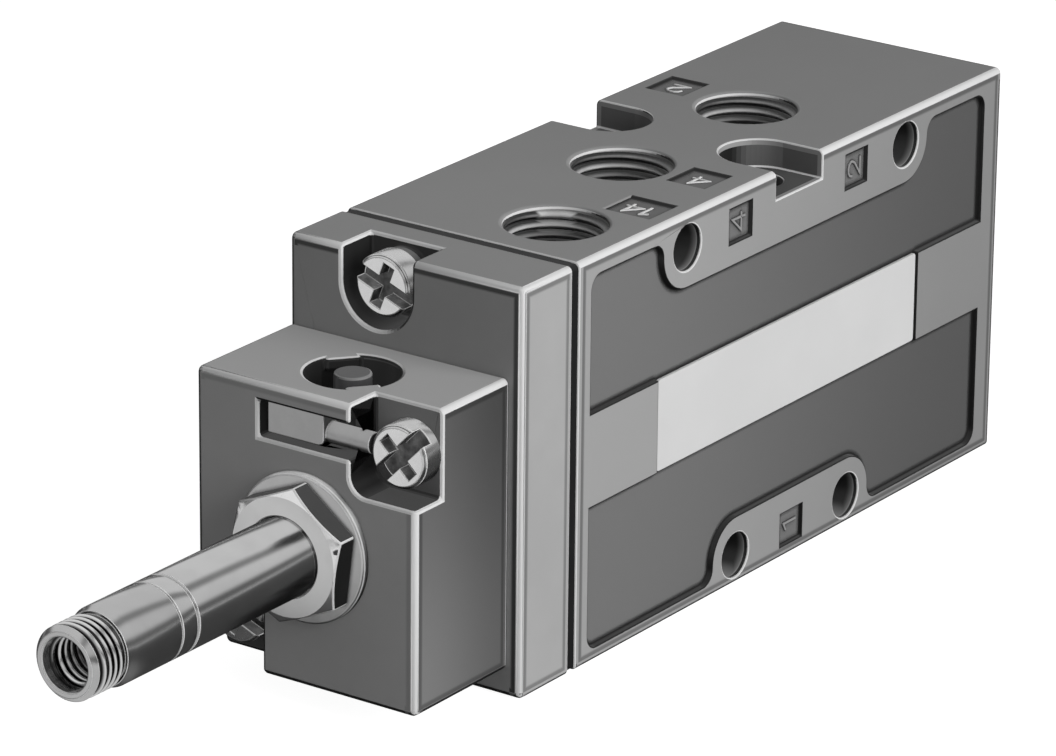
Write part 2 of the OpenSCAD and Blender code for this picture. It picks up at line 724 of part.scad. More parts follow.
module valve_body() {
    color([0.62, 0.63, 0.64]) difference() {
        extrude_x(front_x, rear_x) body_profile();
        for (station = [-1, 1]) threaded_port(port_x(station), 0, true);
        for (station = [-2, 0, 2]) threaded_port(port_x(station), 0, false);
        threaded_port(pilot_port_at_x, -pilot_port_y, true);
        fixing_cuts();
        label_cuts();
        spool_cuts();
        pilot_cuts();
        translate([0, relief_depth - body_w / 2, 0]) rotate([90, 0, 0])
            linear_extrude(relief_depth + cut) panel_outline(false);
        translate([0, body_w / 2 + cut, 0]) rotate([90, 0, 0])
            linear_extrude(relief_depth + cut) panel_outline(true);
    }
}

module name_plate() {
    color([0.84, 0.85, 0.86])
        translate([(plate_front_x + plate_rear_x) / 2, relief_depth - body_w / 2, tab_z])
        rotate([90, 0, 0]) linear_extrude(plate_t)
        rounded_rect(plate_rear_x - plate_front_x - 2 * plate_gap, tab_h - 2 * plate_gap, plate_corner_r);
}

// Front end

module front_gasket() {
    color([0.13, 0.13, 0.14]) difference() {
        extrude_x(cap_rear_x, front_x) body_profile(gasket_inset);
        rod_x(cap_rear_x - cut, front_x + cut, piston_bore_r - gasket_lip, 0, spool_z);
        rod_x(cap_rear_x - cut, front_x + cut, pilot_drill_r, supply_duct_y, supply_duct_z);
        rod_x(cap_rear_x - cut, front_x + cut, shank_hole_r, cap_screw_y, cap_screw_top_z);
        rod_x(cap_rear_x - cut, front_x + cut, shank_hole_r, -cap_screw_y, cap_screw_low_z);
    }
}

module cap_notch(y, z, way) {
    // the notch around a cap screw, open to the top face or to the underside
    floor_x = cap_front_x + notch_depth;
    difference() {
        union() {
            rod_x(cap_front_x - cut, floor_x, notch_r, y, z);
            translate([0, y, z]) scale([1, 1, way])
                block([cap_front_x - cut, floor_x], [-notch_r, notch_r], [0, cap_screw_drop + cut]);
        }
        rod_x(floor_x - boss_h, floor_x + cut, head_r - small_bevel, y, z);
    }
}

module front_rounding(x, y_mid, z_mid, w, h, r) {
    // rounds the four edges around a front face at x
    for (s = [-1, 1]) {
        translate([x, y_mid + s * w / 2, z_mid - h / 2 - cut])
            scale([-1, s, 1]) linear_extrude(h + 2 * cut) corner_cut(r);
        translate([x, y_mid - w / 2 - cut, z_mid + s * h / 2])
            rotate([-90, 0, 0]) scale([-1, -s, 1]) linear_extrude(w + 2 * cut) corner_cut(r);
    }
}

module end_cap() {
    color([0.6, 0.61, 0.62]) difference() {
        extrude_x(cap_front_x, cap_rear_x) body_profile();
        front_rounding(cap_front_x, 0, body_h / 2, body_w, body_h, edge_r);
        cap_notch(cap_screw_y, cap_screw_top_z, 1);
        cap_notch(-cap_screw_y, cap_screw_low_z, -1);
        rod_x(cap_seat_x - cut, cap_rear_x + cut, shank_hole_r, cap_screw_y, cap_screw_top_z);
        rod_x(cap_seat_x - cut, cap_rear_x + cut, shank_hole_r, -cap_screw_y, cap_screw_low_z);
        rod_x(cap_front_x - cut, cap_rear_x + cut, pilot_drill_r, 0, spool_z);
        rod_x(cap_front_x - cut, cap_rear_x + cut, pilot_drill_r, supply_duct_y, supply_duct_z);
        for (s = [-1, 1])
            rod_x(cap_front_x - cut, corner_floor_x + pilot_screw_l + tap_run, shank_hole_r,
                block_y - s * pilot_screw_y, block_z + s * pilot_screw_z);
    }
}

module cap_screws() {
    color([0.78, 0.79, 0.8]) {
        translate([cap_seat_x, cap_screw_y, cap_screw_top_z])
            rotate([cap_slot_turn, 0, 0]) screw(cap_screw_l);
        translate([cap_seat_x, -cap_screw_y, cap_screw_low_z])
            rotate([low_cap_slot_turn, 0, 0]) screw(cap_screw_l);
    }
}

// Pilot block

module corner_pocket() {
    // the upper pocket at -Y, in the block's own middle, from its front face
    difference() {
        block([-cut, corner_depth], [-block_side_y - cut, -corner_y], [corner_z, block_h / 2 + cut]);
        translate([-2 * cut, -corner_y, corner_z]) rotate([90, 0, 90])
            linear_extrude(corner_depth + 3 * cut) scale([1, -1]) corner_cut(corner_r);
    }
}

module block_drillings() {
    // the stepped bore of the tube and the valve seat, then the pilot outlet and the supply duct
    rod_x(block_front_x - cut, tube_ring_end_x, neck_bore_r, block_y, tube_z);
    rod_x(tube_ring_end_x - cut, chamber_end_x, armature_cavity_r, block_y, tube_z);
    rod_x(chamber_end_x - cut, seat_end_x + seat_space, seat_collar_r + seat_gap, block_y, tube_z);
    outlet_x = seat_end_x + seat_space - 2 * pilot_drill_r + outlet_lead;
    rod_z(tube_z, spool_z, pilot_drill_r, outlet_x + pilot_drill_r, 0);
    rod_x(outlet_x, cap_front_x + cut, pilot_drill_r, 0, spool_z);
    duct_x = chamber_end_x - pilot_drill_r - duct_lead;
    rod_x(duct_x, cap_front_x + cut, pilot_drill_r, supply_duct_y, supply_duct_z);
    dy = block_y - supply_duct_y;
    dz = tube_z - supply_duct_z;
    translate([duct_x + pilot_drill_r, supply_duct_y, supply_duct_z]) rotate([atan2(-dy, dz), 0, 0])
        cylinder(h = norm([dy, dz]) - armature_cavity_r + duct_break, r = pilot_drill_r - duct_step);
}

module override_well() {
    translate([override_axis_x, block_y, 0]) {
        difference() {
            rod_z(well_floor_z, block_top_z + cut, well_r);
            rotate([0, 0, lug_turn]) for (s = [-1, 1]) scale([1, s, 1])
                block([-lug_w / 2, lug_w / 2], [lug_y, well_r + cut],
                    [block_top_z - lug_h, block_top_z + 2 * cut]);
        }
        rod_z(tube_z, well_floor_z + cut, stem_bore_r);
    }
}

module front_window() {
    block([block_front_x - cut, block_front_x + window_depth],
        [block_y - corner_y - cut, block_y + window_y], [window_floor_z, window_floor_z + window_h]);
}

module pilot_block() {
    color([0.45, 0.46, 0.47]) difference() {
        translate([0, block_y, block_z]) extrude_x(block_front_x, cap_front_x)
            rounded_rect(block_w, block_h, edge_r);
        front_rounding(block_front_x, block_y, block_z, block_w, block_h, edge_r);
        translate([block_front_x, block_y, block_z]) corner_pocket();
        translate([block_front_x, block_y, block_z]) rotate([180, 0, 0]) corner_pocket();
        front_window();
        override_well();
        block_drillings();
        for (s = [-1, 1])
            rod_x(block_front_x, cap_front_x + cut, shank_hole_r,
                block_y - s * pilot_screw_y, block_z + s * pilot_screw_z);
        translate([cap_front_x - seal_plate_t, 0, 0]) gasket_space(seal_plate_t + cut, 0);
    }
}

module gasket_space(depth, inset) {
    translate([0, block_y, block_z - seal_plate_drop]) extrude_x(0, depth)
        rounded_rect(seal_plate_w - 2 * inset, seal_plate_h - 2 * inset, seal_plate_r);
}

module pilot_gasket() {
    color([0.12, 0.12, 0.13]) difference() {
        translate([cap_front_x - seal_plate_t, 0, 0]) gasket_space(seal_plate_t, plate_gap);
        rod_x(cap_front_x - seal_plate_t - cut, cap_front_x + cut, pilot_drill_r, 0, spool_z);
        rod_x(cap_front_x - seal_plate_t - cut, cap_front_x + cut, pilot_drill_r,
            supply_duct_y, supply_duct_z);
    }
}

module pilot_screws() {
    color([0.78, 0.79, 0.8]) for (s = [-1, 1])
        translate([corner_floor_x, block_y - s * pilot_screw_y, block_z + s * pilot_screw_z])
            rotate([s > 0 ? pilot_slot_turn : low_pilot_slot_turn, 0, 0]) screw(pilot_screw_l);
}

// Spool train

module spool() {
    edge = stroke / 2;
    front_land_x = seal_x(2) - edge;
    color([0.74, 0.75, 0.77]) difference() {
        turned_x([[0, spool_front_x], [spool_r, spool_front_x], [spool_r, front_land_x],
            [groove_r, front_land_x + groove_slope],
            [groove_r, seal_x(3) - edge - groove_slope], [spool_r, seal_x(3) - edge],
            [spool_r, seal_x(4) - edge], [groove_r, seal_x(4) - edge + groove_slope],
            [groove_r, seal_x(5) - edge - groove_slope], [spool_r, seal_x(5) - edge],
            [spool_r, spool_end_x - small_bevel], [spool_r - small_bevel, spool_end_x],
            [0, spool_end_x]], 0, spool_z);
        rod_x(spool_end_x - pocket_depth, spool_end_x + cut, pocket_r, 0, spool_z);
    }
}

module spool_seal(number) {
    mid = seal_x(number);
    color([0.16, 0.16, 0.17]) turned_x([[ring_outer_r, mid - seal_w / 2], [ring_outer_r, mid + seal_w / 2],
        [seal_inner_r + lip, mid + seal_w / 2], [seal_inner_r, mid + seal_w / 6],
        [seal_inner_r, mid - seal_w / 6], [seal_inner_r + lip, mid - seal_w / 2]], 0, spool_z);
}

module spacer_cage(station) {
    mid = port_x(station);
    color([0.85, 0.83, 0.76]) difference() {
        tube_x(mid - cage_l / 2, mid + cage_l / 2, ring_outer_r, cage_inner_r, 0, spool_z);
        for (a = [0, 90]) translate([mid, 0, spool_z]) rotate([a, 0, 0])
            rod_z(-seal_bore_r, seal_bore_r, port_drill_r - cage_slot_inset);
    }
}

module pilot_piston() {
    ring_x0 = piston_x + piston_t / 2;
    half = piston_ring_t / 2 + piston_groove_gap;
    root_r = piston_r - piston_ring_t - piston_groove_gap;
    color([0.2, 0.21, 0.23]) turned_x([[0, piston_x], [piston_r - small_bevel, piston_x],
        [piston_r, piston_x + small_bevel],
        [piston_r, ring_x0 - half], [root_r, ring_x0 - half], [root_r, ring_x0 + half],
        [piston_r, ring_x0 + half], [piston_r, spool_front_x], [0, spool_front_x]], 0, spool_z);
}

module piston_seal() {
    color([0.1, 0.1, 0.11]) ring_x(piston_x + piston_t / 2, piston_ring_mid_r, piston_ring_t, 0, spool_z);
}

module seal_retainer() {
    color([0.7, 0.71, 0.72]) tube_x(stop_x, first_seal_x, piston_bore_r - seat_gap,
        spool_r + 3 * run_gap, 0, spool_z);
}

module return_spring() {
    spring_x = spool_end_x - pocket_depth;
    mid_r = pocket_r - return_wire_r - 2 * run_gap;
    color([0.7, 0.7, 0.72]) translate([spring_x, 0, spool_z]) rotate([0, 90, 0])
        coil_spring(mid_r, return_wire_r, plug_x - spring_x, return_turns);
}

module end_plug() {
    mid = plug_x + plug_t / 2;
    half = plug_ring_t / 2 + plug_groove_gap;
    root_r = plug_r - plug_ring_t - plug_groove_gap;
    color([0.55, 0.56, 0.58]) difference() {
        turned_x([[0, plug_x], [plug_r, plug_x], [plug_r, mid - half], [root_r, mid - half],
            [root_r, mid + half], [plug_r, mid + half], [plug_r, plug_x + plug_t],
            [0, plug_x + plug_t]], 0, spool_z);
        rod_x(plug_x - cut, plug_x + plug_t + cut, bleed_r, 0, spool_z);
        rod_x(plug_x + plug_t - plug_dish, plug_x + plug_t + cut, plug_r / 2, 0, spool_z);
    }
}

module end_plug_seal() {
    color([0.1, 0.1, 0.11]) ring_x(plug_x + plug_t / 2, plug_ring_mid_r, plug_ring_t, 0, spool_z);
}

module retaining_ring() {
    outer = plug_bore_r + snap_groove - seat_gap;
    inner = outer - ring_w;
    ear_z = spool_z - inner + ring_eye_r;
    color([0.3, 0.3, 0.32]) difference() {
        union() {
            tube_x(snap_x + run_gap, snap_x + snap_t - run_gap, outer, inner, 0, spool_z);
            for (s = [-1, 1])
                rod_x(snap_x + run_gap, snap_x + snap_t - run_gap, ring_ear_r, s * ring_ear_y, ear_z);
        }
        block([snap_x, snap_x + snap_t], [-ring_split, ring_split],
            [spool_z - outer - cut, ear_z + ring_ear_r + cut]);
        for (s = [-1, 1]) rod_x(snap_x, snap_x + snap_t, ring_eye_r, s * ring_ear_y, ear_z);
    }
}

// Armature tube

module armature_tube() {
    groove_x = tube_end_x + crimp_x;
    groove_root_r = tube_r - crimp_depth;
    inside_nut_r = tube_r - undercut;
    color([0.72, 0.73, 0.74])
        turned_x([[tube_bore_r, tube_end_x], [tube_r - seam_bevel, tube_end_x],
            [tube_r, tube_end_x + seam_bevel], [tube_r, groove_x], [groove_root_r, groove_x + crimp_slope],
            [groove_root_r, groove_x + crimp_w - crimp_slope], [tube_r, groove_x + crimp_w],
            [tube_r, nut_front_x - undercut_lead], [inside_nut_r, nut_front_x - undercut_lead],
            [inside_nut_r, neck_end_x], [neck_r, neck_end_x], [neck_r, flange_end_x],
            [tube_bore_r, flange_end_x]], block_y, tube_z);
}

module pole_core() {
    core_r = tube_bore_r - seat_gap;
    mouth_bevel = inner_mouth_r - inner_thread_r;
    color([0.76, 0.77, 0.78]) difference() {
        turned_x([[0, tip_x], [end_r, tip_x], [thread_crest_r, bevel_x], [thread_root_r, bevel_x],
            [thread_root_r, thread_x - run_out], [thread_crest_r, thread_x - run_out],
            [thread_crest_r, thread_x], [tube_r, thread_x + shoulder_l], [tube_r, tube_end_x - seam_bevel],
            [tube_r - seam_bevel, tube_end_x], [core_r, tube_end_x], [core_r, core_face_x],
            [nose_r, core_face_x], [nose_r, nose_x], [0, nose_x]], block_y, tube_z);
        rod_x(tip_x - cut, tip_x + inner_thread_depth, inner_thread_r, block_y, tube_z);
        rod_x(tip_x - cut, nose_x + cut, bleed_r, block_y, tube_z);
        turned_x([[0, tip_x - cut], [inner_mouth_r + cut, tip_x - cut],
            [inner_thread_r, tip_x + mouth_bevel], [0, tip_x + mouth_bevel]], block_y, tube_z);
    }
}

module tube_nut() {
    corner = nut_af / sqrt(3);
    spare = 0.1;                // how far the bevel's circle and cone clear the flats and corners
    color([0.75, 0.76, 0.77]) difference() {
        union() {
            intersection() {
                translate([nut_front_x, block_y, tube_z]) rotate([180 - nut_turn, 0, 0]) rotate([0, 90, 0])
                    rotate([0, 0, 90]) cylinder(h = nut_h, r = corner, $fn = 6);
                turned_x([[0, nut_front_x], [nut_af / 2 - spare, nut_front_x],
                    [corner + spare, nut_front_x + nut_bevel], [corner + spare, nut_rear_x],
                    [0, nut_rear_x]], block_y, tube_z);
            }
            rod_x(nut_rear_x - cut, neck_end_x, neck_r, block_y, tube_z);
        }
        rod_x(nut_front_x - cut, neck_end_x + cut, tube_r + nut_gap, block_y, tube_z);
    }
}

module tube_washer() {
    color([0.8, 0.81, 0.82])
        turned_x([[neck_bore_r, nut_rear_x], [washer_r - washer_bevel, nut_rear_x],
            [washer_r, nut_rear_x + washer_bevel], [washer_r, block_front_x], [neck_bore_r, block_front_x]],
            block_y, tube_z);
}

module tube_seal() {
    color([0.1, 0.1, 0.11]) ring_x(flange_end_x + tube_ring_t / 2, neck_r - tube_ring_t / 2,
        tube_ring_t, block_y, tube_z);
}

module armature() {
    color([0.66, 0.67, 0.69]) difference() {
        rod_x(armature_front_x, armature_rear_x, armature_r, block_y, tube_z);
        rod_x(armature_front_x - cut, armature_front_x + armature_pocket, spring_cavity_r,
            block_y, tube_z);
        rod_x(armature_rear_x - pad_t, armature_rear_x + cut, pad_r + seat_gap, block_y, tube_z);
        for (s = [-1, 1]) translate([0, block_y, tube_z]) scale([1, 1, s])
            block([armature_front_x - cut, armature_rear_x + cut], [-flute_w / 2, flute_w / 2],
                [armature_r - flute_depth, armature_r + cut]);
    }
}

module seat_pad() {
    color([0.12, 0.12, 0.13])
        rod_x(armature_rear_x - pad_t, armature_rear_x, pad_r, block_y, tube_z);
}

module exhaust_pad() {
    // the pad closes the bleed hole in the nose of the pole core when the armature is drawn in
    color([0.12, 0.12, 0.13]) rod_x(pad_front_x, pad_front_x + pad_t, pad_r, block_y, tube_z);
}

module armature_spring() {
    mid_r = spring_cavity_r - armature_wire_r - run_gap;
    color([0.7, 0.7, 0.72]) translate([core_face_x, block_y, tube_z]) rotate([0, 90, 0])
        coil_spring(mid_r, armature_wire_r, pad_front_x - core_face_x, armature_turns);
}

module valve_seat() {
    color([0.8, 0.68, 0.4]) difference() {
        turned_x([[0, seat_x], [seat_r - small_bevel, seat_x], [seat_r, seat_x + nozzle_slope],
            [seat_r, chamber_end_x], [seat_collar_r, chamber_end_x], [seat_collar_r, seat_end_x],
            [0, seat_end_x]], block_y, tube_z);
        rod_x(seat_x - cut, seat_end_x + cut, bleed_r, block_y, tube_z);
    }
}

// Manual override

module override_button() {
    color([0.15, 0.15, 0.16]) translate([override_axis_x, block_y, 0]) difference() {
        union() {
            intersection() {
                rod_z(button_low_z, button_top_z, button_r);
                rotate([0, 0, lug_turn]) block([-button_r, button_r],
                    [run_gap - lug_y, lug_y - run_gap], [button_low_z - cut, button_top_z + cut]);
            }
            rod_z(button_top_z - cut, tip_z, tip_r);
            rod_z(stem_end_z, button_low_z + cut, stem_r);
        }
        translate([0, 0, stem_ring_z]) difference() {
            rod_z(-stem_ring_t / 2 - stem_groove_gap, stem_ring_t / 2 + stem_groove_gap, stem_r + cut);
            rod_z(-stem_ring_t, stem_ring_t, stem_ring_mid_r - stem_ring_t / 2 - stem_groove_gap);
        }
    }
}

module override_seal() {
    color([0.1, 0.1, 0.11]) translate([override_axis_x, block_y, stem_ring_z])
        rotate_extrude() translate([stem_ring_mid_r, 0]) circle(d = stem_ring_t, $fn = 24);
}

module override_spring() {
    color([0.7, 0.7, 0.72]) translate([override_axis_x, block_y, well_floor_z])
        coil_spring(spring_mid_r, override_wire_r, button_low_z - well_floor_z, override_turns);
}

module override_retaining_pin() {
    // slides in from the corner pocket; the head of the pilot screw keeps it there
    head_y = block_y + window_y - pin_end_gap;
    foot_y = block_y - pilot_screw_y + head_r + shank_gap;
    head_low_z = pin_z - pin_r;
    head_x = block_front_x + pin_head_drop;
    color([0.55, 0.56, 0.57]) difference() {
        union() {
            rod_y(foot_y, head_y - pin_head_l / 2, pin_r, pin_x, pin_z);
            block([head_x, pin_x + pin_r], [head_y - pin_head_l, head_y],
                [head_low_z, window_floor_z + window_h - pin_top_gap]);
        }
        translate([head_x - cut, head_y - pin_head_l, head_low_z]) rotate([90, 0, 90])
            linear_extrude(pin_x - head_x) scale([-1, -1]) corner_cut(pin_corner_r);
    }
}

valve_body();
name_plate();
front_gasket();
end_cap();
cap_screws();
pilot_block();
pilot_gasket();
pilot_screws();
spool();
pilot_piston();
piston_seal();
seal_retainer();
spool_seal(1);  // spool_seal_1
spool_seal(2);  // spool_seal_2
spool_seal(3);  // spool_seal_3
spool_seal(4);  // spool_seal_4
spool_seal(5);  // spool_seal_5
spool_seal(6);  // spool_seal_6
spacer_cage(-2);  // spacer_cage_5
spacer_cage(-1);  // spacer_cage_4
spacer_cage(0);  // spacer_cage_1
spacer_cage(1);  // spacer_cage_2
spacer_cage(2);  // spacer_cage_3
return_spring();
end_plug();
end_plug_seal();
retaining_ring();
armature_tube();
pole_core();
tube_nut();
tube_washer();
tube_seal();
armature();
seat_pad();
exhaust_pad();
armature_spring();
valve_seat();
override_button();
override_seal();
override_spring();
override_retaining_pin();
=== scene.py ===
"""Five-port solenoid valve: threads, port numbers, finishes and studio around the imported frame."""
import math

import bmesh
import bpy
from mathutils import Matrix, Vector


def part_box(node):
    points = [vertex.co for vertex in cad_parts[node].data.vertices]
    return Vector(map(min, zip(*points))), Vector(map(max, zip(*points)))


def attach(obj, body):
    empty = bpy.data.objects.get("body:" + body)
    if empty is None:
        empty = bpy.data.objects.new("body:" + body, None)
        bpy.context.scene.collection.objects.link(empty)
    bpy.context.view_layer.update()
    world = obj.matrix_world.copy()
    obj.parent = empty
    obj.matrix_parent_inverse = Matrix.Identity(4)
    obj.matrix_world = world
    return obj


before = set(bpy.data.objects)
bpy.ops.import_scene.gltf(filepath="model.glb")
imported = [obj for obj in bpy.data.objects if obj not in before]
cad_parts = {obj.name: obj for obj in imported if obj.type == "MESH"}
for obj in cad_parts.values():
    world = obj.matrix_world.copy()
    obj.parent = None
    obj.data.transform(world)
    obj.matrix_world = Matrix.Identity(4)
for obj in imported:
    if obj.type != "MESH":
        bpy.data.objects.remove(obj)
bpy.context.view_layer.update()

MM = 0.001

# Camera, from a fit of the valve's corners in the photograph
VIEW_TURN = math.radians(35.18)
VIEW_DROP = math.radians(20.43)
VIEW_ROLL = math.radians(0.57)
VIEW_DISTANCE = 603.3 * MM
VIEW_CENTRE = Vector((-20.0, 3.83, 20.03)) * MM
SENSOR_WIDTH = 36.0
LENS = 219.5
CLIP_RANGE = (0.01, 20.0)

# Valve stations taken from the frame
BODY_LOW, BODY_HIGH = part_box("valve_body")
CAP_LOW, CAP_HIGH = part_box("end_cap")
BLOCK_LOW, BLOCK_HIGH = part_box("pilot_block")
CORE_LOW, CORE_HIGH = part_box("pole_core")
BUTTON_LOW, BUTTON_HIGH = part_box("override_button")
TUBE_AXIS = (CORE_LOW + CORE_HIGH) / 2
OVERRIDE_AXIS = (BUTTON_LOW + BUTTON_HIGH) / 2
CAP_SCREW_LOW, CAP_SCREW_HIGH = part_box("cap_screws")
PILOT_SCREW_LOW, PILOT_SCREW_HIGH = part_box("pilot_screws")
HEAD_R = 3 * MM
BOSS_R = 2.9 * MM
CAP_SCREW_AXES = [(CAP_SCREW_HIGH.y - HEAD_R, CAP_SCREW_HIGH.z - HEAD_R),
                  (CAP_SCREW_LOW.y + HEAD_R, CAP_SCREW_LOW.z + HEAD_R)]
PILOT_SCREW_AXES = [(PILOT_SCREW_LOW.y + HEAD_R, PILOT_SCREW_HIGH.z - HEAD_R),
                    (PILOT_SCREW_HIGH.y - HEAD_R, PILOT_SCREW_LOW.z + HEAD_R)]
COIL_THREAD_ROOT = 3.2 * MM
COIL_THREAD_CREST = 3.5 * MM
COIL_THREAD_PITCH = 0.72 * MM
COIL_THREAD_START = CORE_LOW.x + 0.5 * MM
COIL_THREAD_LENGTH = 3.8 * MM
VENT_ROOT = 2.5 * MM
VENT_CREST = 2.1 * MM
VENT_PITCH = 0.8 * MM
VENT_START = CORE_LOW.x + 0.75 * MM
VENT_LENGTH = 5.2 * MM
PORT_R = 4.87 * MM
PORT_CREST_R = 4.3 * MM
PORT_MOUTH_R = 5.1 * MM
PORT_14_X, PORT_14_Y = BODY_LOW.x + 7.85 * MM, -4.85 * MM
TOP_PORT_X, LOWER_PORT_X = 10.5 * MM, 21 * MM
# Place of each port's axis, and whether the port opens upwards
PORTS = {
    "port_14": (PORT_14_X, PORT_14_Y, True),
    "port_4": (-TOP_PORT_X, 0, True), "port_2": (TOP_PORT_X, 0, True),
    "port_5": (-LOWER_PORT_X, 0, False), "port_1": (0, 0, False), "port_3": (LOWER_PORT_X, 0, False),
}
# Half the pitch of each pair of cross holes, and their height
CROSS_HOLES = [(18.7 * MM, BODY_HIGH.z - 3.35 * MM), (9.6 * MM, BODY_LOW.z + 2.85 * MM)]
HOLE_RIM_R = 2.7 * MM


def aim(turn, drop, roll):
    """Right, up and forward of a camera turned from +X towards +Y and dropped below the horizon."""
    forward = Vector((math.cos(turn) * math.cos(drop), math.sin(turn) * math.cos(drop), -math.sin(drop)))
    level = Vector((math.sin(turn), -math.cos(turn), 0))
    rise = level.cross(forward)
    right = math.cos(roll) * level + math.sin(roll) * rise
    up = math.cos(roll) * rise - math.sin(roll) * level
    return right, up, forward


def set_camera():
    """The camera, placed as for the photograph."""
    right, up, forward = aim(VIEW_TURN, VIEW_DROP, VIEW_ROLL)
    lens = bpy.data.cameras.new("camera")
    lens.sensor_width = SENSOR_WIDTH
    lens.lens = LENS
    lens.clip_start, lens.clip_end = CLIP_RANGE
    camera = bpy.data.objects.new("camera", lens)
    bpy.context.scene.collection.objects.link(camera)
    turn = Matrix((right, up, -forward)).transposed().to_4x4()
    camera.matrix_world = Matrix.Translation(VIEW_CENTRE - forward * VIEW_DISTANCE) @ turn
    bpy.context.scene.camera = camera


# Shader tools

# How far a face must turn: a soft change to a side or to the front, square on, and upright
SIDE_TURN = (0.6, 0.8)
FACE_ON = (0.8, 0.95)
SQUARE_ON = 0.9
UPRIGHT = 0.1


def place(tree, kind, inputs=None, **settings):
    """One node in tree. Inputs are plain values or the outputs that feed them."""
    made = tree.nodes.new(kind)
    for name, value in settings.items():
        setattr(made, name, value)
    for name, value in (inputs or {}).items():
        if isinstance(value, bpy.types.NodeSocket):
            tree.links.new(value, made.inputs[name])
        else:
            made.inputs[name].default_value = value
    return made


def reckon(tree, operation, *values, clamp=False):
    """The output of a Math node."""
    made = place(tree, "ShaderNodeMath", dict(enumerate(values)), operation=operation, use_clamp=clamp)
    return made.outputs[0]


def plus(tree, first, second):
    return reckon(tree, "ADD", first, second)


def minus(tree, first, second):
    return reckon(tree, "SUBTRACT", first, second)


def times(tree, first, second):
    return reckon(tree, "MULTIPLY", first, second)


def above(tree, value, limit):
    """1 where value is above limit."""
    return reckon(tree, "GREATER_THAN", value, limit)


def below(tree, value, limit):
    """1 where value is below limit."""
    return reckon(tree, "LESS_THAN", value, limit)


def size_of(tree, value):
    """value without its sign."""
    return reckon(tree, "ABSOLUTE", value)


def fold(tree, operation, values):
    """One value from several, taken two at a time."""
    result, *others = values
    for other in others:
        result = reckon(tree, operation, result, other)
    return result


def distance(tree, across, along):
    """Length of the diagonal over across and along."""
    squares = [times(tree, side, side) for side in (across, along)]
    return reckon(tree, "SQRT", plus(tree, *squares))


def from_nearest(tree, across, along, axes):
    """Distance of the place (across, along) from the nearest of axes."""
    distances = [distance(tree, minus(tree, across, first), minus(tree, along, second))
                 for first, second in axes]
    return fold(tree, "MINIMUM", distances)


def vector_math(tree, operation, *values):
    """The output of a Vector Math node."""
    made = place(tree, "ShaderNodeVectorMath", dict(enumerate(values)), operation=operation)
    return made.outputs["Value" if operation == "DOT_PRODUCT" else "Vector"]


def parts_of(tree, vector):
    """X, Y and Z of a vector."""
    return list(place(tree, "ShaderNodeSeparateXYZ", {"Vector": vector}).outputs)


def band(tree, value, low, high, first=0.0, last=1.0):
    """value mapped smoothly from low..high to first..last."""
    made = place(tree, "ShaderNodeMapRange", {"Value": value, "From Min": low, "From Max": high,
                                              "To Min": first, "To Max": last},
                 interpolation_type="SMOOTHSTEP")
    return made.outputs["Result"]


def between(tree, value, low, high):
    """1 where value lies between low and high."""
    return times(tree, above(tree, value, low), below(tree, value, high))


def all_of(tree, *masks):
    """1 where every mask is 1."""
    return fold(tree, "MULTIPLY", masks)


def any_of(tree, *masks):
    """1 where at least one mask is 1."""
    return fold(tree, "MAXIMUM", masks)


def without(tree, mask):
    """1 where mask is 0."""
    return reckon(tree, "SUBTRACT", 1.0, mask, clamp=True)


def tint(tree, share, first, second):
    """Colour between first and second by share."""
    made = place(tree, "ShaderNodeMix", {"Factor": share}, data_type="RGBA")
    for name, value in (("A", first), ("B", second)):
        socket = next(s for s in made.inputs if s.name == name and s.type == "RGBA")
        if isinstance(value, bpy.types.NodeSocket):
            tree.links.new(value, socket)
        else:
            socket.default_value = value
    return next(s for s in made.outputs if s.type == "RGBA")


def grey(level):
    return (level, level, level, 1.0)


def graded(tree, share, levels):
    """A grey that goes from the first to the second of levels by share."""
    return tint(tree, share, grey(levels[0]), grey(levels[1]))


def drifting(tree, tone, level, low=0.96, high=1.04):
    """A grey that drifts with tone between low and high times level."""
    return graded(tree, tone, (level * low, level * high))


def uneven(tree, level, tone, spread):
    """level, raised by spread where tone is 1."""
    return plus(tree, level, times(tree, tone, spread))


def here(tree):
    """The point being painted, in the valve's own frame."""
    return place(tree, "ShaderNodeTexCoord").outputs["Object"]


def facing(tree):
    """The way that the painted face looks, in the valve's own frame."""
    flat = place(tree, "ShaderNodeNewGeometry").outputs["True Normal"]
    made = place(tree, "ShaderNodeVectorTransform", {"Vector": flat}, vector_type="NORMAL",
                 convert_from="WORLD", convert_to="OBJECT")
    return made.outputs[0]


def turned_forward(tree, way_x):
    """1 on faces that look forward, by the X part of their way."""
    return band(tree, times(tree, way_x, -1.0), *FACE_ON)


def turned_sideways(tree, way_y):
    """1 on faces that look to either side, by the Y part of their way."""
    return band(tree, size_of(tree, way_y), *SIDE_TURN)


def new_group(name, inputs, outputs):
    """A node group with its sockets, and its two end nodes."""
    group = bpy.data.node_groups.new(name, "ShaderNodeTree")
    for label, kind, value in inputs:
        socket = group.interface.new_socket(label, in_out="INPUT", socket_type=kind)
        if value is not None:
            socket.default_value = value
    for label, kind in outputs:
        group.interface.new_socket(label, in_out="OUTPUT", socket_type=kind)
    return group, group.nodes.new("NodeGroupInput"), group.nodes.new("NodeGroupOutput")


NUMBER, ARROW = "NodeSocketFloat", "NodeSocketVector"
NOISE_SPAN = (0.3, 0.7)
DARK_SKY = (0.85, 0.35)
LINE_SKY = (0.96, 0.8)

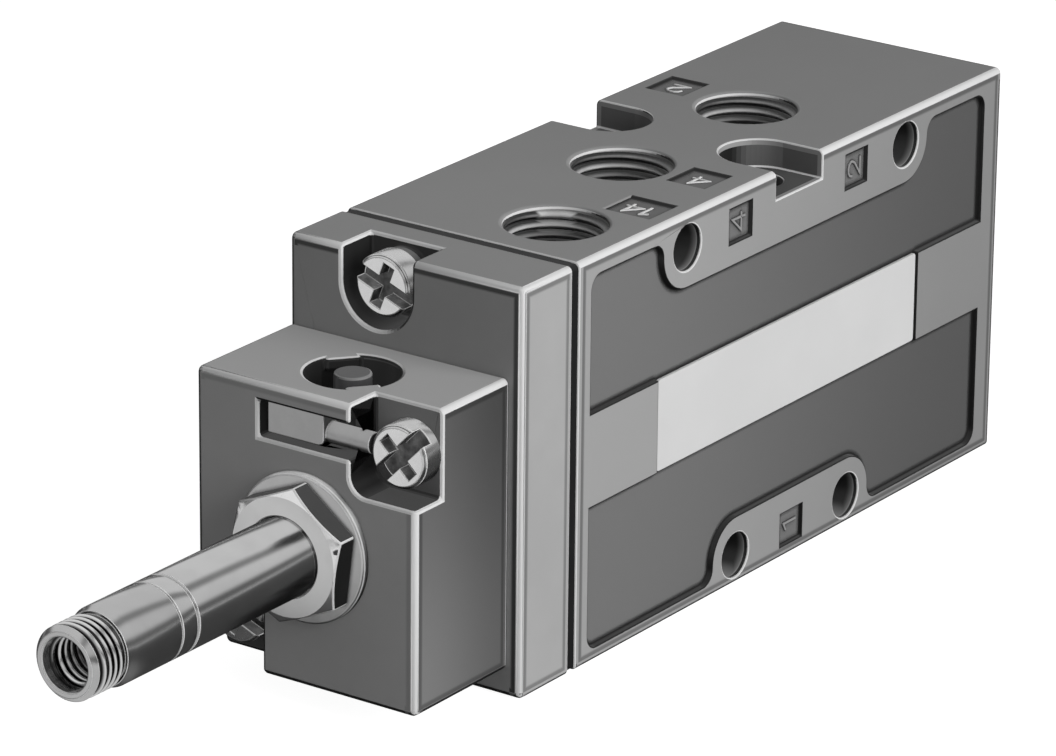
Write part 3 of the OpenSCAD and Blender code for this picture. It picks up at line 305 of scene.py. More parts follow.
# Edges of the castings, for their painted highlight and shade lines: the way that lit ones face, how far
# their line and their rounding reach
LIT_WAY = Vector((-0.35, -0.75, 0.56)).normalized()
LIT_CORNER = (0.45, 0.8)
OUTLINE_REACH = 0.32 * MM
ROUNDING = 0.6 * MM
EDGE_ZONE = 1.15 * MM
RIM_DEPTH = 0.24 * MM
SLANTED = (0.997, 0.985)
BESIDE_START = (ROUNDING - 0.08 * MM, ROUNDING)
BESIDE_END = (EDGE_ZONE, ROUNDING + 0.25 * MM)
SURFACE = 0.02 * MM
EDGE_INSET = 0.7 * MM


def casting_group():
    """Where a point lies in a casting's box.

    Depth is its distance from the nearest side of the box. Outline marks the box's edges, Rim their
    rounding, Lit the edges that face the light, and Beside the faces next to the lit ones. They place
    the painted highlight and shade lines."""
    group, start, end = new_group(
        "casting_place", [("Low", ARROW, None), ("High", ARROW, None)],
        [("Depth", NUMBER), ("Outline", NUMBER), ("Rim", NUMBER), ("Lit", NUMBER), ("Beside", NUMBER)])
    low, high = start.outputs["Low"], start.outputs["High"]
    middle = vector_math(group, "SCALE", vector_math(group, "ADD", low, high))
    middle.node.inputs["Scale"].default_value = 0.5
    half = vector_math(group, "SUBTRACT", high, middle)
    away = vector_math(group, "SUBTRACT", here(group), middle)
    from_middle = vector_math(group, "ABSOLUTE", away)
    depths = parts_of(group, vector_math(group, "SUBTRACT", half, from_middle))
    nearer = reckon(group, "MINIMUM", depths[0], depths[1])
    further = reckon(group, "MAXIMUM", depths[0], depths[1])
    depth = reckon(group, "MINIMUM", nearer, depths[2])
    second = reckon(group, "MAXIMUM", nearer, reckon(group, "MINIMUM", further, depths[2]))
    outline = below(group, second, OUTLINE_REACH)

    # An edge lies where two sides are close. Sides that face the light count from further off.
    towards_light = [above(group, times(group, part, lit_part), 0)
                     for part, lit_part in zip(parts_of(group, away), LIT_WAY)]
    zones = [reckon(group, "MULTIPLY_ADD", toward, EDGE_ZONE - ROUNDING, ROUNDING)
             for toward in towards_light]
    close = [below(group, side_depth, zone) for side_depth, zone in zip(depths, zones)]
    corner = place(group, "ShaderNodeCombineXYZ", dict(enumerate(close)))
    corner_way = vector_math(group, "MULTIPLY", corner.outputs[0], vector_math(group, "SIGN", away))
    lit = band(group, vector_math(group, "DOT_PRODUCT", corner_way, LIT_WAY), *LIT_CORNER)

    slant = parts_of(group, vector_math(group, "ABSOLUTE", facing(group)))
    flattest = fold(group, "MAXIMUM", slant)
    shallow = all_of(group, below(group, depth, RIM_DEPTH), below(group, second, ROUNDING + SURFACE))
    rim = all_of(group, band(group, flattest, *SLANTED), shallow)
    fade_in = band(group, second, *BESIDE_START)
    fade_out = band(group, second, *BESIDE_END)
    beside = all_of(group, fade_in, fade_out, below(group, depth, SURFACE), lit)
    for socket, value in zip(end.inputs, (depth, outline, rim, lit, beside)):
        group.links.new(value, socket)
    return group


def grain_group():
    """Fine relief of lacquer and moulded faces, with slow drifts of tone."""
    group, start, end = new_group(
        "fine_grain", [("Grain", NUMBER, 0.2 * MM), ("Drift", NUMBER, 10 * MM)],
        [("Height", NUMBER), ("Tone", NUMBER)])
    where = here(group)
    fine = reckon(group, "DIVIDE", 1.0, start.outputs["Grain"])
    slow = reckon(group, "DIVIDE", 1.0, start.outputs["Drift"])
    peel = place(group, "ShaderNodeTexNoise",
                 {"Vector": where, "Scale": fine, "Detail": 3.0, "Roughness": 0.6})
    drift = place(group, "ShaderNodeTexNoise",
                  {"Vector": where, "Scale": slow, "Detail": 4.0, "Roughness": 0.55})
    group.links.new(peel.outputs["Fac"], end.inputs["Height"])
    group.links.new(band(group, drift.outputs["Fac"], *NOISE_SPAN), end.inputs["Tone"])
    return group


def turning_group():
    """Fine rings left by a lathe tool around X."""
    group, start, end = new_group(
        "turning_rings", [("Pitch", NUMBER, 0.15 * MM)], [("Height", NUMBER), ("Tone", NUMBER)])
    where = here(group)
    line = reckon(group, "DIVIDE", parts_of(group, where)[0], start.outputs["Pitch"])
    rings = place(group, "ShaderNodeTexNoise", {"W": line, "Scale": 1.0, "Detail": 2.0},
                  noise_dimensions="1D")
    patches = place(group, "ShaderNodeTexNoise", {"Vector": where, "Scale": 260.0, "Detail": 3.0})
    group.links.new(rings.outputs["Fac"], end.inputs["Height"])
    group.links.new(band(group, patches.outputs["Fac"], *NOISE_SPAN), end.inputs["Tone"])
    return group


def recess_shade_group():
    """Painted shade from ambient occlusion: Dark marks recesses within Reach of other faces, and Line the
    corners where faces meet.
    """
    group, start, end = new_group(
        "recess_shade", [("Reach", NUMBER, 0.5 * MM)], [("Dark", NUMBER), ("Line", NUMBER)])
    open_sky = place(group, "ShaderNodeAmbientOcclusion", {"Distance": start.outputs["Reach"]}, samples=6)
    group.links.new(band(group, open_sky.outputs["AO"], *DARK_SKY), end.inputs["Dark"])
    group.links.new(band(group, open_sky.outputs["AO"], *LINE_SKY), end.inputs["Line"])
    return group


CASTING_PLACE = casting_group()
FINE_GRAIN = grain_group()
TURNING_RINGS = turning_group()
RECESS_SHADE = recess_shade_group()


def use(tree, group, **inputs):
    """A node group placed in a material, with its own values."""
    made = place(tree, "ShaderNodeGroup", node_tree=group)
    for name, value in inputs.items():
        made.inputs[name].default_value = value
    return made.outputs


def new_finish(name):
    """A material with its shader, ready to be fed."""
    finish = bpy.data.materials.new(name)
    finish.use_nodes = True
    tree = finish.node_tree
    return finish, tree, tree.nodes["Principled BSDF"]


def feed(tree, shader, **sources):
    """Values or outputs for the shader's inputs. An underscore stands for a space in their names."""
    for name, value in sources.items():
        socket = shader.inputs[name.replace("_", " ")]
        if isinstance(value, bpy.types.NodeSocket):
            tree.links.new(value, socket)
        else:
            socket.default_value = value


def relief(tree, height, depth):
    """A normal that carries a fine relief of depth metres."""
    bump = place(tree, "ShaderNodeBump", {"Height": height, "Distance": depth, "Strength": 1.0})
    return bump.outputs["Normal"]


def grained(tree, grain, roughness, spread, depth):
    """Roughness that drifts with the grain by spread, and the grain's relief."""
    return {"Roughness": uneven(tree, roughness, grain["Tone"], spread),
            "Normal": relief(tree, grain["Height"], depth)}


# Finishes of the castings

# Levels of painted light: the highlight on lit edges, the shade on unlit edges, walls and down holes, and
# the shares of the painted outline and rim highlight
EDGE_HIGHLIGHT = 0.85
SHADE_LEVEL = 0.012
WALL_SHADE = 0.02
DEEP_SHADE = 0.01
OUTLINE_SHADE = 0.85
RIM_HIGHLIGHT = 0.95
CASTING_SKIN = 0.3 * MM


def casting_lacquer(name, low, high, paint_maker, roughness=0.42, front_shade=0.85, side_shade=0.5):
    """Satin lacquer on a casting: a painted highlight line on edges that face up and forward, painted
    shade lines on the edges behind.

    paint_maker(tree, tone, spot) gives the paint between them. The shade strengths are those of the
    painted shade line beside the lit edges."""
    finish, tree, shader = new_finish(name)
    spot = use(tree, CASTING_PLACE, Low=low, High=high)
    grain = use(tree, FINE_GRAIN, Grain=0.18 * MM, Drift=12 * MM)
    paint = paint_maker(tree, grain["Tone"], spot)
    way_x, way_y = parts_of(tree, facing(tree))[:2]
    forward = below(tree, way_x, -SQUARE_ON)
    sideways = below(tree, way_y, -SQUARE_ON)
    strength = any_of(tree, times(tree, forward, front_shade), times(tree, sideways, side_shade))
    # Painted shade: a dark line on the faces beside the lit edges
    paint = tint(tree, all_of(tree, spot["Beside"], strength), paint, grey(SHADE_LEVEL))
    # Painted shade on edges that face away from the light, painted highlight on the rounding of those
    # that face it
    shaded_edge = all_of(tree, spot["Outline"], without(tree, spot["Lit"]))
    painted_shade = tint(tree, times(tree, shaded_edge, OUTLINE_SHADE), paint, grey(SHADE_LEVEL))
    edge = graded(tree, spot["Lit"], (SHADE_LEVEL, EDGE_HIGHLIGHT))
    highlighted = tint(tree, times(tree, spot["Rim"], RIM_HIGHLIGHT), painted_shade, edge)
    feed(tree, shader, Base_Color=highlighted, Specular_IOR_Level=0.3,
         **grained(tree, grain, roughness, 0.06, 0.006 * MM))
    return finish


# Body paint from front to back end: the sides are painted lighter than the top as painted light, and the
# paint, also the sunk panels', darkens towards the back end as painted shade
BODY_TOP = (0.32, 0.255)
BODY_SIDES = (0.41, 0.295)
DRIFT_LEVEL = 0.45
DRIFT_SHARE = 0.05
PANEL_LEVELS = (0.205, 0.115)
LABEL_LEVEL = 0.15
SIDE_LABEL_LEVEL = 0.2
SLOT_HALF = 4.2 * MM
SLOT_DEPTH = 3 * MM

# Depths of the floors and walls of the sunk panels and labels
PANEL_FLOOR = (0.42 * MM, 0.58 * MM)
PANEL_WALL = (0.02 * MM, 0.49 * MM)
LABEL_FLOOR = (0.24 * MM, 0.36 * MM)
LABEL_WALL = (0.02 * MM, 0.29 * MM)
LABEL_INSET = 1 * MM

# Painted shade: holes get dark inwards, and the slots' walls by their turn
INSIDE_DEPTH = 0.6 * MM
HOLE_FADE = (0.1 * MM, 1.4 * MM)
HOLE_DARK = 0.97
SLOT_TURN = (0.2, 0.95)
SLOT_DARK = (1.0, 0.55)


def body_paint(tree, tone, spot):
    """The body's paint: lighter frame, darker sunk panels and labels, painted shade on the walls, in the
    corners and down the holes. The sides are painted lighter than the top as painted light, and all
    get painted shade towards the back end.
    """
    x, y, z = parts_of(tree, here(tree))
    way_x, way_y, way_z = parts_of(tree, facing(tree))
    share = band(tree, x, BODY_LOW.x, BODY_HIGH.x)
    top_paint = graded(tree, share, BODY_TOP)
    side_paint = graded(tree, share, BODY_SIDES)
    paint = tint(tree, turned_sideways(tree, way_y), top_paint, side_paint)
    paint = tint(tree, times(tree, tone, DRIFT_SHARE), paint, grey(DRIFT_LEVEL))
    side_depth = minus(tree, BODY_HIGH.y, size_of(tree, y))
    top_depth = minus(tree, BODY_HIGH.z, z)
    sideways = above(tree, size_of(tree, way_y), SQUARE_ON)
    upwards = above(tree, way_z, SQUARE_ON)
    in_slot = all_of(tree, below(tree, size_of(tree, x), SLOT_HALF), below(tree, top_depth, SLOT_DEPTH))
    clear_of_slot = without(tree, in_slot)

    panel = all_of(tree, sideways, between(tree, side_depth, *PANEL_FLOOR))
    paint = tint(tree, panel, paint, graded(tree, share, PANEL_LEVELS))
    side_label = all_of(tree, sideways, between(tree, side_depth, *LABEL_FLOOR))
    paint = tint(tree, side_label, paint, grey(SIDE_LABEL_LEVEL))
    top_label = all_of(tree, upwards, between(tree, top_depth, *LABEL_FLOOR))
    paint = tint(tree, top_label, paint, grey(LABEL_LEVEL))
    floors = any_of(tree, panel, side_label, top_label)
    # Painted shade: a dark line where the panel and label floors meet their walls
    border = use(tree, RECESS_SHADE, Reach=0.6 * MM)["Line"]
    paint = tint(tree, all_of(tree, floors, border), paint, grey(WALL_SHADE))

    # Painted shade on the walls of the sunk panels and labels
    step_wall = all_of(tree, without(tree, sideways), between(tree, side_depth, *PANEL_WALL),
                       between(tree, spot["Depth"], *PANEL_WALL), clear_of_slot,
                       above(tree, top_depth, EDGE_INSET))
    label_wall = all_of(tree, below(tree, size_of(tree, way_z), UPRIGHT),
                        between(tree, top_depth, *LABEL_WALL),
                        above(tree, side_depth, LABEL_INSET), clear_of_slot)
    for wall in (step_wall, label_wall):
        paint = tint(tree, wall, paint, grey(WALL_SHADE))

    hole_shade = band(tree, spot["Depth"], *HOLE_FADE, 0.0, HOLE_DARK)
    slot_shade = band(tree, size_of(tree, way_x), *SLOT_TURN, *SLOT_DARK)
    shade = tint(tree, in_slot, hole_shade, slot_shade)
    inside = above(tree, spot["Depth"], INSIDE_DEPTH)
    return tint(tree, all_of(tree, shade, inside), paint, grey(DEEP_SHADE))


# The cap's front and sides are one lacquer painted at two levels as painted light; the notches get
# painted shade, lighter on the screw bosses' sides
CAP_FRONT = 0.325
CAP_SIDES = 0.46
NOTCH_START = 0.35 * MM
BOSS_TOP = 3.1 * MM
BOSS_LEVEL = 0.2


def cap_paint(tree, tone, spot):
    """The cap's paint: its front painted darker than its sides as painted light, and painted shade down
    in the screw notches.
    """
    inward = minus(tree, parts_of(tree, here(tree))[0], CAP_LOW.x)
    way_y = parts_of(tree, facing(tree))[1]
    front_paint = drifting(tree, tone, CAP_FRONT)
    side_paint = drifting(tree, tone, CAP_SIDES)
    paint = tint(tree, turned_sideways(tree, way_y), front_paint, side_paint)
    notch = all_of(tree, above(tree, inward, NOTCH_START), above(tree, spot["Depth"], CASTING_SKIN))
    boss_side = all_of(tree, above(tree, inward, BOSS_TOP),
                       below(tree, screw_distance(tree, CAP_SCREW_AXES), BOSS_R))
    return tint(tree, notch, paint, graded(tree, boss_side, (WALL_SHADE, BOSS_LEVEL)))


# Block paint: top, front and sides of one lacquer at different levels as painted light, painted shade on
# the sides, in the pockets and in the well
BLOCK_FRONT = 0.43
BLOCK_TOP = 0.5
BLOCK_SIDES = ((0.235, 0.135), (0.135, 0.07))
POCKET_LEVEL = 0.08
POCKET_FADE = (0, 9 * MM)
POCKET_DARK = (0.55, 0.85)
WELL_RIM_R = 4.75 * MM
WELL_DEPTH = 6 * MM
WELL_FADE = (0.1 * MM, 0.5 * MM)


def block_paint(tree, tone, spot):
    """The pilot block's paint: pale above and mid grey in front as painted light, with painted shade in
    dark pockets and a black well.

    The sides get darker upwards and towards the cap, as painted shade."""
    x, _, z = parts_of(tree, here(tree))
    way_x, way_y, way_z = parts_of(tree, facing(tree))
    top_depth = minus(tree, BLOCK_HIGH.z, z)
    rise = band(tree, z, BLOCK_LOW.z, BLOCK_HIGH.z)
    near_paint, far_paint = (graded(tree, rise, levels) for levels in BLOCK_SIDES)
    side_paint = tint(tree, band(tree, x, BLOCK_LOW.x, BLOCK_HIGH.x), near_paint, far_paint)
    paint = drifting(tree, tone, BLOCK_FRONT)
    paint = tint(tree, band(tree, way_z, *SIDE_TURN), paint, grey(BLOCK_TOP))
    outside = below(tree, spot["Depth"], CASTING_SKIN)
    paint = tint(tree, all_of(tree, turned_sideways(tree, way_y), outside), paint, side_paint)

    inside = without(tree, outside)
    pocket_side = all_of(tree, inside, without(tree, turned_forward(tree, way_x)))
    paint = tint(tree, pocket_side, paint, grey(SHADE_LEVEL))
    darkness = band(tree, top_depth, *POCKET_FADE, *POCKET_DARK)
    pocket_back = all_of(tree, inside, darkness, without(tree, pocket_side))
    paint = tint(tree, pocket_back, paint, grey(POCKET_LEVEL))
    well = all_of(tree, in_well(tree), band(tree, top_depth, *WELL_FADE))
    return tint(tree, well, paint, grey(SHADE_LEVEL))


def in_well(tree):
    """1 in the round well of the manual override and on its rim."""
    x, y, z = parts_of(tree, here(tree))
    radius = distance(tree, minus(tree, x, OVERRIDE_AXIS.x), minus(tree, y, OVERRIDE_AXIS.y))
    return all_of(tree, below(tree, radius, WELL_RIM_R), above(tree, z, BLOCK_HIGH.z - WELL_DEPTH))


# How far bevels must face the light to get a painted highlight, and how deep in a casting they get it
LIT_BEVEL = (0.25, 0.5)
LIT_GLINT = (-0.1, 0.4)
LIT_DEPTHS = (0.35 * MM, 0.1 * MM)


def light_share(tree, span):
    """How much a face looks at the light, from 0 to 1 over span."""
    return band(tree, vector_math(tree, "DOT_PRODUCT", facing(tree), LIT_WAY), *span)


def edge_lacquer(name, level=EDGE_HIGHLIGHT, dark=SHADE_LEVEL, box=None, mask_maker=None):
    """The narrow bevels of a casting: a painted highlight where they face up and forward, painted shade
    elsewhere.

    With box, those deeper inside it get painted shade too. mask_maker(tree) gives the places where
    bevels get painted shade, and those where they keep the body's paint."""
    finish, tree, shader = new_finish(name)
    lit = light_share(tree, LIT_BEVEL)
    if box:
        depth = use(tree, CASTING_PLACE, Low=box[0], High=box[1])["Depth"]
        limit = graded(tree, in_well(tree), LIT_DEPTHS)
        lit = all_of(tree, lit, below(tree, depth, limit))
    grain = use(tree, FINE_GRAIN, Grain=0.5 * MM, Drift=3 * MM)
    bright = drifting(tree, grain["Tone"], level, 0.94, 1.0)
    colour = tint(tree, lit, grey(dark), bright)
    if mask_maker:
        painted_shade, plain = mask_maker(tree)
        colour = tint(tree, plain, tint(tree, painted_shade, colour, grey(dark)), grey(BODY_TOP[0]))
    feed(tree, shader, Base_Color=colour, Roughness=0.35, Specular_IOR_Level=0.4)
    return finish


# How far the bevels of the sunk panels, labels and port mouths reach from the body's faces
PANEL_BEVELS = 0.6 * MM
LABEL_BEVELS = 0.4 * MM
MOUTH_BEVELS = 0.17 * MM
LOWER_MOUTH_BEVELS = 0.1 * MM
LABEL_SPAN = (6.05 * MM, 12.2 * MM)
LABEL_START = PORT_14_X + PORT_MOUTH_R + 0.4 * MM
MOUTH_LIMIT = PORT_MOUTH_R - PORT_14_Y + 0.3 * MM
SLOT_REACH = SLOT_HALF + 0.1 * MM
SLOT_START = PORT_MOUTH_R - 0.8 * MM
SLOT_FOOT = BODY_HIGH.z - 3.2 * MM


def body_edge_places(tree):
    """Bevels around the sunk panels and labels get painted shade, and those at the port mouths keep the
    paint.
    """
    x, y, z = parts_of(tree, here(tree))
    wide, long = size_of(tree, y), size_of(tree, x)
    on_side = above(tree, wide, BODY_HIGH.y - PANEL_BEVELS)
    off_edge = all_of(tree, between(tree, z, BODY_LOW.z + EDGE_INSET, BODY_HIGH.z - EDGE_INSET),
                      between(tree, x, BODY_LOW.x + EDGE_INSET, BODY_HIGH.x - EDGE_INSET))
    hole_rim = below(tree, from_nearest(tree, long, z, CROSS_HOLES), HOLE_RIM_R)
    slot_side = all_of(tree, below(tree, long, SLOT_HALF), above(tree, z, SLOT_FOOT))
    relief_edge = all_of(tree, on_side, off_edge, without(tree, hole_rim), without(tree, slot_side))
    on_top = above(tree, z, BODY_HIGH.z - LABEL_BEVELS)
    label_edge = all_of(tree, on_top, between(tree, wide, *LABEL_SPAN),
                        above(tree, x, LABEL_START), above(tree, long, SLOT_REACH))
    at_face = any_of(tree, above(tree, z, BODY_HIGH.z - MOUTH_BEVELS),
                     below(tree, z, BODY_LOW.z + LOWER_MOUTH_BEVELS))
    mouth = all_of(tree, at_face, without(tree, label_edge), below(tree, wide, MOUTH_LIMIT),
                   above(tree, x, BODY_LOW.x + 0.5 * MM))
    slot_edge = all_of(tree, below(tree, long, SLOT_REACH), above(tree, wide, SLOT_START))
    return any_of(tree, relief_edge, label_edge), all_of(tree, mouth, without(tree, slot_edge))


def screw_distance(tree, axes):
    """Distance of the point from the nearer of two screw axes."""
    y, z = parts_of(tree, here(tree))[1:]
    return from_nearest(tree, y, z, axes)


def axis_radius(tree):
    """Distance of the point from the tube's axis."""
    y, z = parts_of(tree, here(tree))[1:]
    return distance(tree, minus(tree, y, TUBE_AXIS.y), minus(tree, z, TUBE_AXIS.z))


def port_radius(tree):
    """Distance of the point from the nearest port's axis."""
    x, y = parts_of(tree, here(tree))[:2]
    return from_nearest(tree, x, y, [(port_x, port_y) for port_x, port_y, _ in PORTS.values()])


def satin_plate(name, level, roughness):
    """Pale satin plate with a faint brushed drift."""
    finish, tree, shader = new_finish(name)
    grain = use(tree, FINE_GRAIN, Grain=0.2 * MM, Drift=20 * MM)
    feed(tree, shader, Base_Color=drifting(tree, grain["Tone"], level, 0.97, 1.02),
         Specular_IOR_Level=0.3, **grained(tree, grain, roughness, 0.05, 0.003 * MM))
    return finish


# Finishes of the turned and small pieces

RECESS_INSET = 0.12 * MM
HOLE_ENTRY = (CORE_LOW.x + 0.3 * MM, CORE_LOW.x + 2.5 * MM)
VENT_FADE = (CORE_LOW.x + 1.2 * MM, CORE_LOW.x + 5 * MM)
OUTER_CREST = (COIL_THREAD_ROOT + 0.02 * MM, COIL_THREAD_CREST - 0.04 * MM)
VENT_RIDGE = (VENT_ROOT - 0.06 * MM, VENT_CREST + 0.06 * MM)
PORT_FLANK = (PORT_CREST_R + 0.1 * MM, PORT_R - 0.12 * MM)
PORT_FADE = (1.0 * MM, 3.8 * MM)


def turned_metal(name, level, roughness, pitch=0.12 * MM, depth=0.0015 * MM, hole_r=None):
    """Bright turned metal with fine rings about X, with painted shade in its recesses.

    hole_r is the end piece's hole, with painted shade inwards. The roots of its outer thread get
    painted shade too."""
    finish, tree, shader = new_finish(name)
    rings = use(tree, TURNING_RINGS, Pitch=pitch)
    recess = use(tree, RECESS_SHADE, Reach=0.4 * MM)
    metal = drifting(tree, rings["Tone"], level, 0.95, 1.03)
    metal = tint(tree, times(tree, recess["Dark"], 0.7), metal, grey(WALL_SHADE))
    if hole_r:
        x = parts_of(tree, here(tree))[0]
        inside = below(tree, axis_radius(tree), hole_r)
        deep = band(tree, x, *HOLE_ENTRY)
        metal = tint(tree, all_of(tree, inside, deep), metal, grey(DEEP_SHADE))
        root = all_of(tree, between(tree, x, COIL_THREAD_START, COIL_THREAD_START + COIL_THREAD_LENGTH),
                      without(tree, inside))
        metal = tint(tree, times(tree, root, 0.85), metal, grey(WALL_SHADE))
    feed(tree, shader, Base_Color=metal, Metallic=1.0,
         Roughness=uneven(tree, roughness, rings["Height"], 0.05),
         Normal=relief(tree, rings["Height"], depth))
    return finish


def thread_metal(name, level):
    """Cut threads of the end piece: painted highlight on the crests, painted shade on the roots and down
    the hole.
    """
    finish, tree, shader = new_finish(name)
    x = parts_of(tree, here(tree))[0]
    radius = axis_radius(tree)
    in_hole = below(tree, radius, VENT_ROOT + 0.2 * MM)
    crest = tint(tree, in_hole, band(tree, radius, *OUTER_CREST), band(tree, radius, *VENT_RIDGE))
    deep = all_of(tree, band(tree, x, *VENT_FADE), in_hole)
    metal = tint(tree, deep, graded(tree, crest, (0.03, level)), grey(0.08))
    feed(tree, shader, Base_Color=metal, Metallic=1.0, Roughness=0.22)
    return finish


def screw_metal(name, axes, head_x):
    """Bright plated screws about X, with painted shade in the recesses of their heads, which start at
    head_x, and on faces that don't look forward.
    """
    finish, tree, shader = new_finish(name)
    grain = use(tree, FINE_GRAIN, Grain=0.9 * MM, Drift=1.2 * MM)
    x = parts_of(tree, here(tree))[0]
    way_x = parts_of(tree, facing(tree))[0]
    recess = all_of(tree, above(tree, x, head_x + RECESS_INSET),
                    below(tree, screw_distance(tree, axes), HEAD_R - RECESS_INSET))
    # Painted shade on faces that don't look forward
    around = without(tree, turned_forward(tree, way_x))
    metal = graded(tree, grain["Tone"], (0.86, 0.95))
    metal = tint(tree, times(tree, around, 0.35), metal, grey(0.3))
    slope = graded(tree, grain["Tone"], (0.03, 0.22))
    feed(tree, shader, Base_Color=tint(tree, recess, metal, slope),
         Metallic=graded(tree, recess, (1.0, 0.3)), **grained(tree, grain, 0.22, 0.06, 0.004 * MM))
    return finish


def nut_metal(name):
    """Bright nickel: light front face, a painted highlight on the cone around it, painted shade on the
    flats.
    """
    finish, tree, shader = new_finish(name)
    grain = use(tree, FINE_GRAIN, Grain=0.9 * MM, Drift=6 * MM)
    forward = times(tree, parts_of(tree, facing(tree))[0], -1.0)
    face = graded(tree, grain["Tone"], (0.66, 0.78))
    cone = all_of(tree, band(tree, forward, 0.2, 0.4), band(tree, forward, 0.99, 0.95))
    metal = tint(tree, cone, face, grey(0.97))
    metal = tint(tree, band(tree, forward, 0.3, 0.15), metal, grey(0.17))
    feed(tree, shader, Base_Color=metal, Metallic=1.0, **grained(tree, grain, 0.2, 0.06, 0.003 * MM))
    return finish


def plated_metal(name, level, roughness, reach=0.6 * MM):
    """Bright plated steel, slightly uneven, with painted shade in its recesses."""
    finish, tree, shader = new_finish(name)
    grain = use(tree, FINE_GRAIN, Grain=0.6 * MM, Drift=2 * MM)
    recess = use(tree, RECESS_SHADE, Reach=reach)
    metal = drifting(tree, grain["Tone"], level, 0.93, 1.05)
    metal = tint(tree, times(tree, recess["Dark"], 0.9), metal, grey(0.015))
    feed(tree, shader, Base_Color=metal, Metallic=1.0,
         **grained(tree, grain, roughness, 0.08, 0.008 * MM))
    return finish


def glint_metal(name, level):
    """The narrow broken edges of bright metal: a painted highlight, nearly white, where they face up and
    forward, and painted shade elsewhere.
    """
    finish, tree, shader = new_finish(name)
    grain = use(tree, FINE_GRAIN, Grain=0.5 * MM, Drift=2 * MM)
    bright = drifting(tree, grain["Tone"], level, 0.92, 1.0)
    recess = use(tree, RECESS_SHADE, Reach=0.3 * MM)
    lit = all_of(tree, light_share(tree, LIT_GLINT), without(tree, recess["Dark"]))
    feed(tree, shader, Base_Color=tint(tree, lit, grey(0.03), bright), Metallic=0.2, Roughness=0.3,
         Specular_IOR_Level=0.6)
    return finish


def moulded(name, colour, roughness):
    """Moulded plastic or rubber with a fine grain."""
    finish, tree, shader = new_finish(name)
    grain = use(tree, FINE_GRAIN, Grain=0.25 * MM, Drift=4 * MM)
    low = tuple(c * 0.9 for c in colour) + (1,)
    high = tuple(min(1, c * 1.1) for c in colour) + (1,)
    feed(tree, shader, Base_Color=tint(tree, grain["Tone"], low, high), Specular_IOR_Level=0.4,
         **grained(tree, grain, roughness, 0.08, 0.006 * MM))
    return finish


def cut_thread(name, level, mouth_z, way):
    """Threads cut in the casting: bright at the mouth, with painted shade at the roots and black further
    down. way is 1 for ports above.
    """
    finish, tree, shader = new_finish(name)
    depth = times(tree, minus(tree, mouth_z, parts_of(tree, here(tree))[2]), way)
    grain = use(tree, FINE_GRAIN, Grain=0.3 * MM, Drift=2 * MM)
    crest = drifting(tree, grain["Tone"], level, 0.85, 1.05)
    at_root = band(tree, port_radius(tree), *PORT_FLANK)
    flank = tint(tree, at_root, crest, grey(SHADE_LEVEL))
    colour = tint(tree, band(tree, depth, *PORT_FADE), flank, grey(DEEP_SHADE))
    feed(tree, shader, Base_Color=colour, Roughness=0.3, Specular_IOR_Level=0.5,
         Normal=relief(tree, grain["Height"], 0.004 * MM))
    return finish


BODY_LACQUER = casting_lacquer("body_lacquer", BODY_LOW, BODY_HIGH, body_paint, side_shade=0.55)
CAP_LACQUER = casting_lacquer("cap_lacquer", CAP_LOW, CAP_HIGH, cap_paint)
BLOCK_LACQUER = casting_lacquer("block_lacquer", BLOCK_LOW, BLOCK_HIGH, block_paint,
                                roughness=0.38, front_shade=0.25)
CAP_EDGE = edge_lacquer("cap_edge", box=(CAP_LOW, CAP_HIGH))
BLOCK_EDGE = edge_lacquer("block_edge", box=(BLOCK_LOW, BLOCK_HIGH))
BODY_EDGE = edge_lacquer("body_edge", mask_maker=body_edge_places)
PLATE_SATIN = satin_plate("plate_satin", 0.76, 0.45)
PLATE_EDGE = edge_lacquer("plate_edge", 0.7, 0.05)
TUBE_STEEL = turned_metal("turned_tube_steel", 0.66, 0.14)
CORE_STEEL = turned_metal("turned_core_steel", 0.6, 0.18, pitch=0.16 * MM, hole_r=2.58 * MM)
THREAD_STEEL = thread_metal("cut_thread_steel", 0.85)
NUT_NICKEL = nut_metal("nut_nickel")
WASHER_ZINC = plated_metal("washer_zinc", 0.62, 0.28)
CAP_SCREW_ZINC = screw_metal("cap_screw_zinc", CAP_SCREW_AXES, CAP_SCREW_LOW.x)
PILOT_SCREW_ZINC = screw_metal("pilot_screw_zinc", PILOT_SCREW_AXES, PILOT_SCREW_LOW.x)
METAL_GLINT = glint_metal("metal_glint", 0.9)
PIN_STEEL = plated_metal("pin_steel", 0.45, 0.32)
SPOOL_GROUND = turned_metal("ground_spool", 0.7, 0.2, pitch=0.05 * MM, depth=0.002 * MM)
PLUG_TURNED = turned_metal("turned_plug", 0.5, 0.3)
BRASS = turned_metal("turned_brass", 0.5, 0.28)
SPRING_WIRE = plated_metal("spring_wire", 0.6, 0.3, reach=0.2 * MM)
RING_BLACK = moulded("blackened_ring", (0.05, 0.05, 0.055), 0.35)
GASKET_BLACK = moulded("gasket_black", (0.012, 0.012, 0.0125), 0.6)
SEAL_RUBBER = moulded("seal_rubber", (0.02, 0.02, 0.021), 0.45)
PISTON_PLASTIC = moulded("piston_plastic", (0.06, 0.06, 0.065), 0.4)
CAGE_PLASTIC = moulded("cage_plastic", (0.72, 0.69, 0.6), 0.42)
BUTTON_PLASTIC = moulded("button_plastic", (0.06, 0.06, 0.062), 0.3)
BUTTON_EDGE = edge_lacquer("button_edge", 0.28, 0.05)
TOP_THREAD = cut_thread("top_port_thread", 0.7, BODY_HIGH.z, 1.0)
LOWER_THREAD = cut_thread("lower_port_thread", 0.6, BODY_LOW.z, -1.0)
NUMBER_WHITE = satin_plate("number_white", 0.9, 0.4)
NUMBER_GREY = satin_plate("number_grey", 0.34, 0.4)

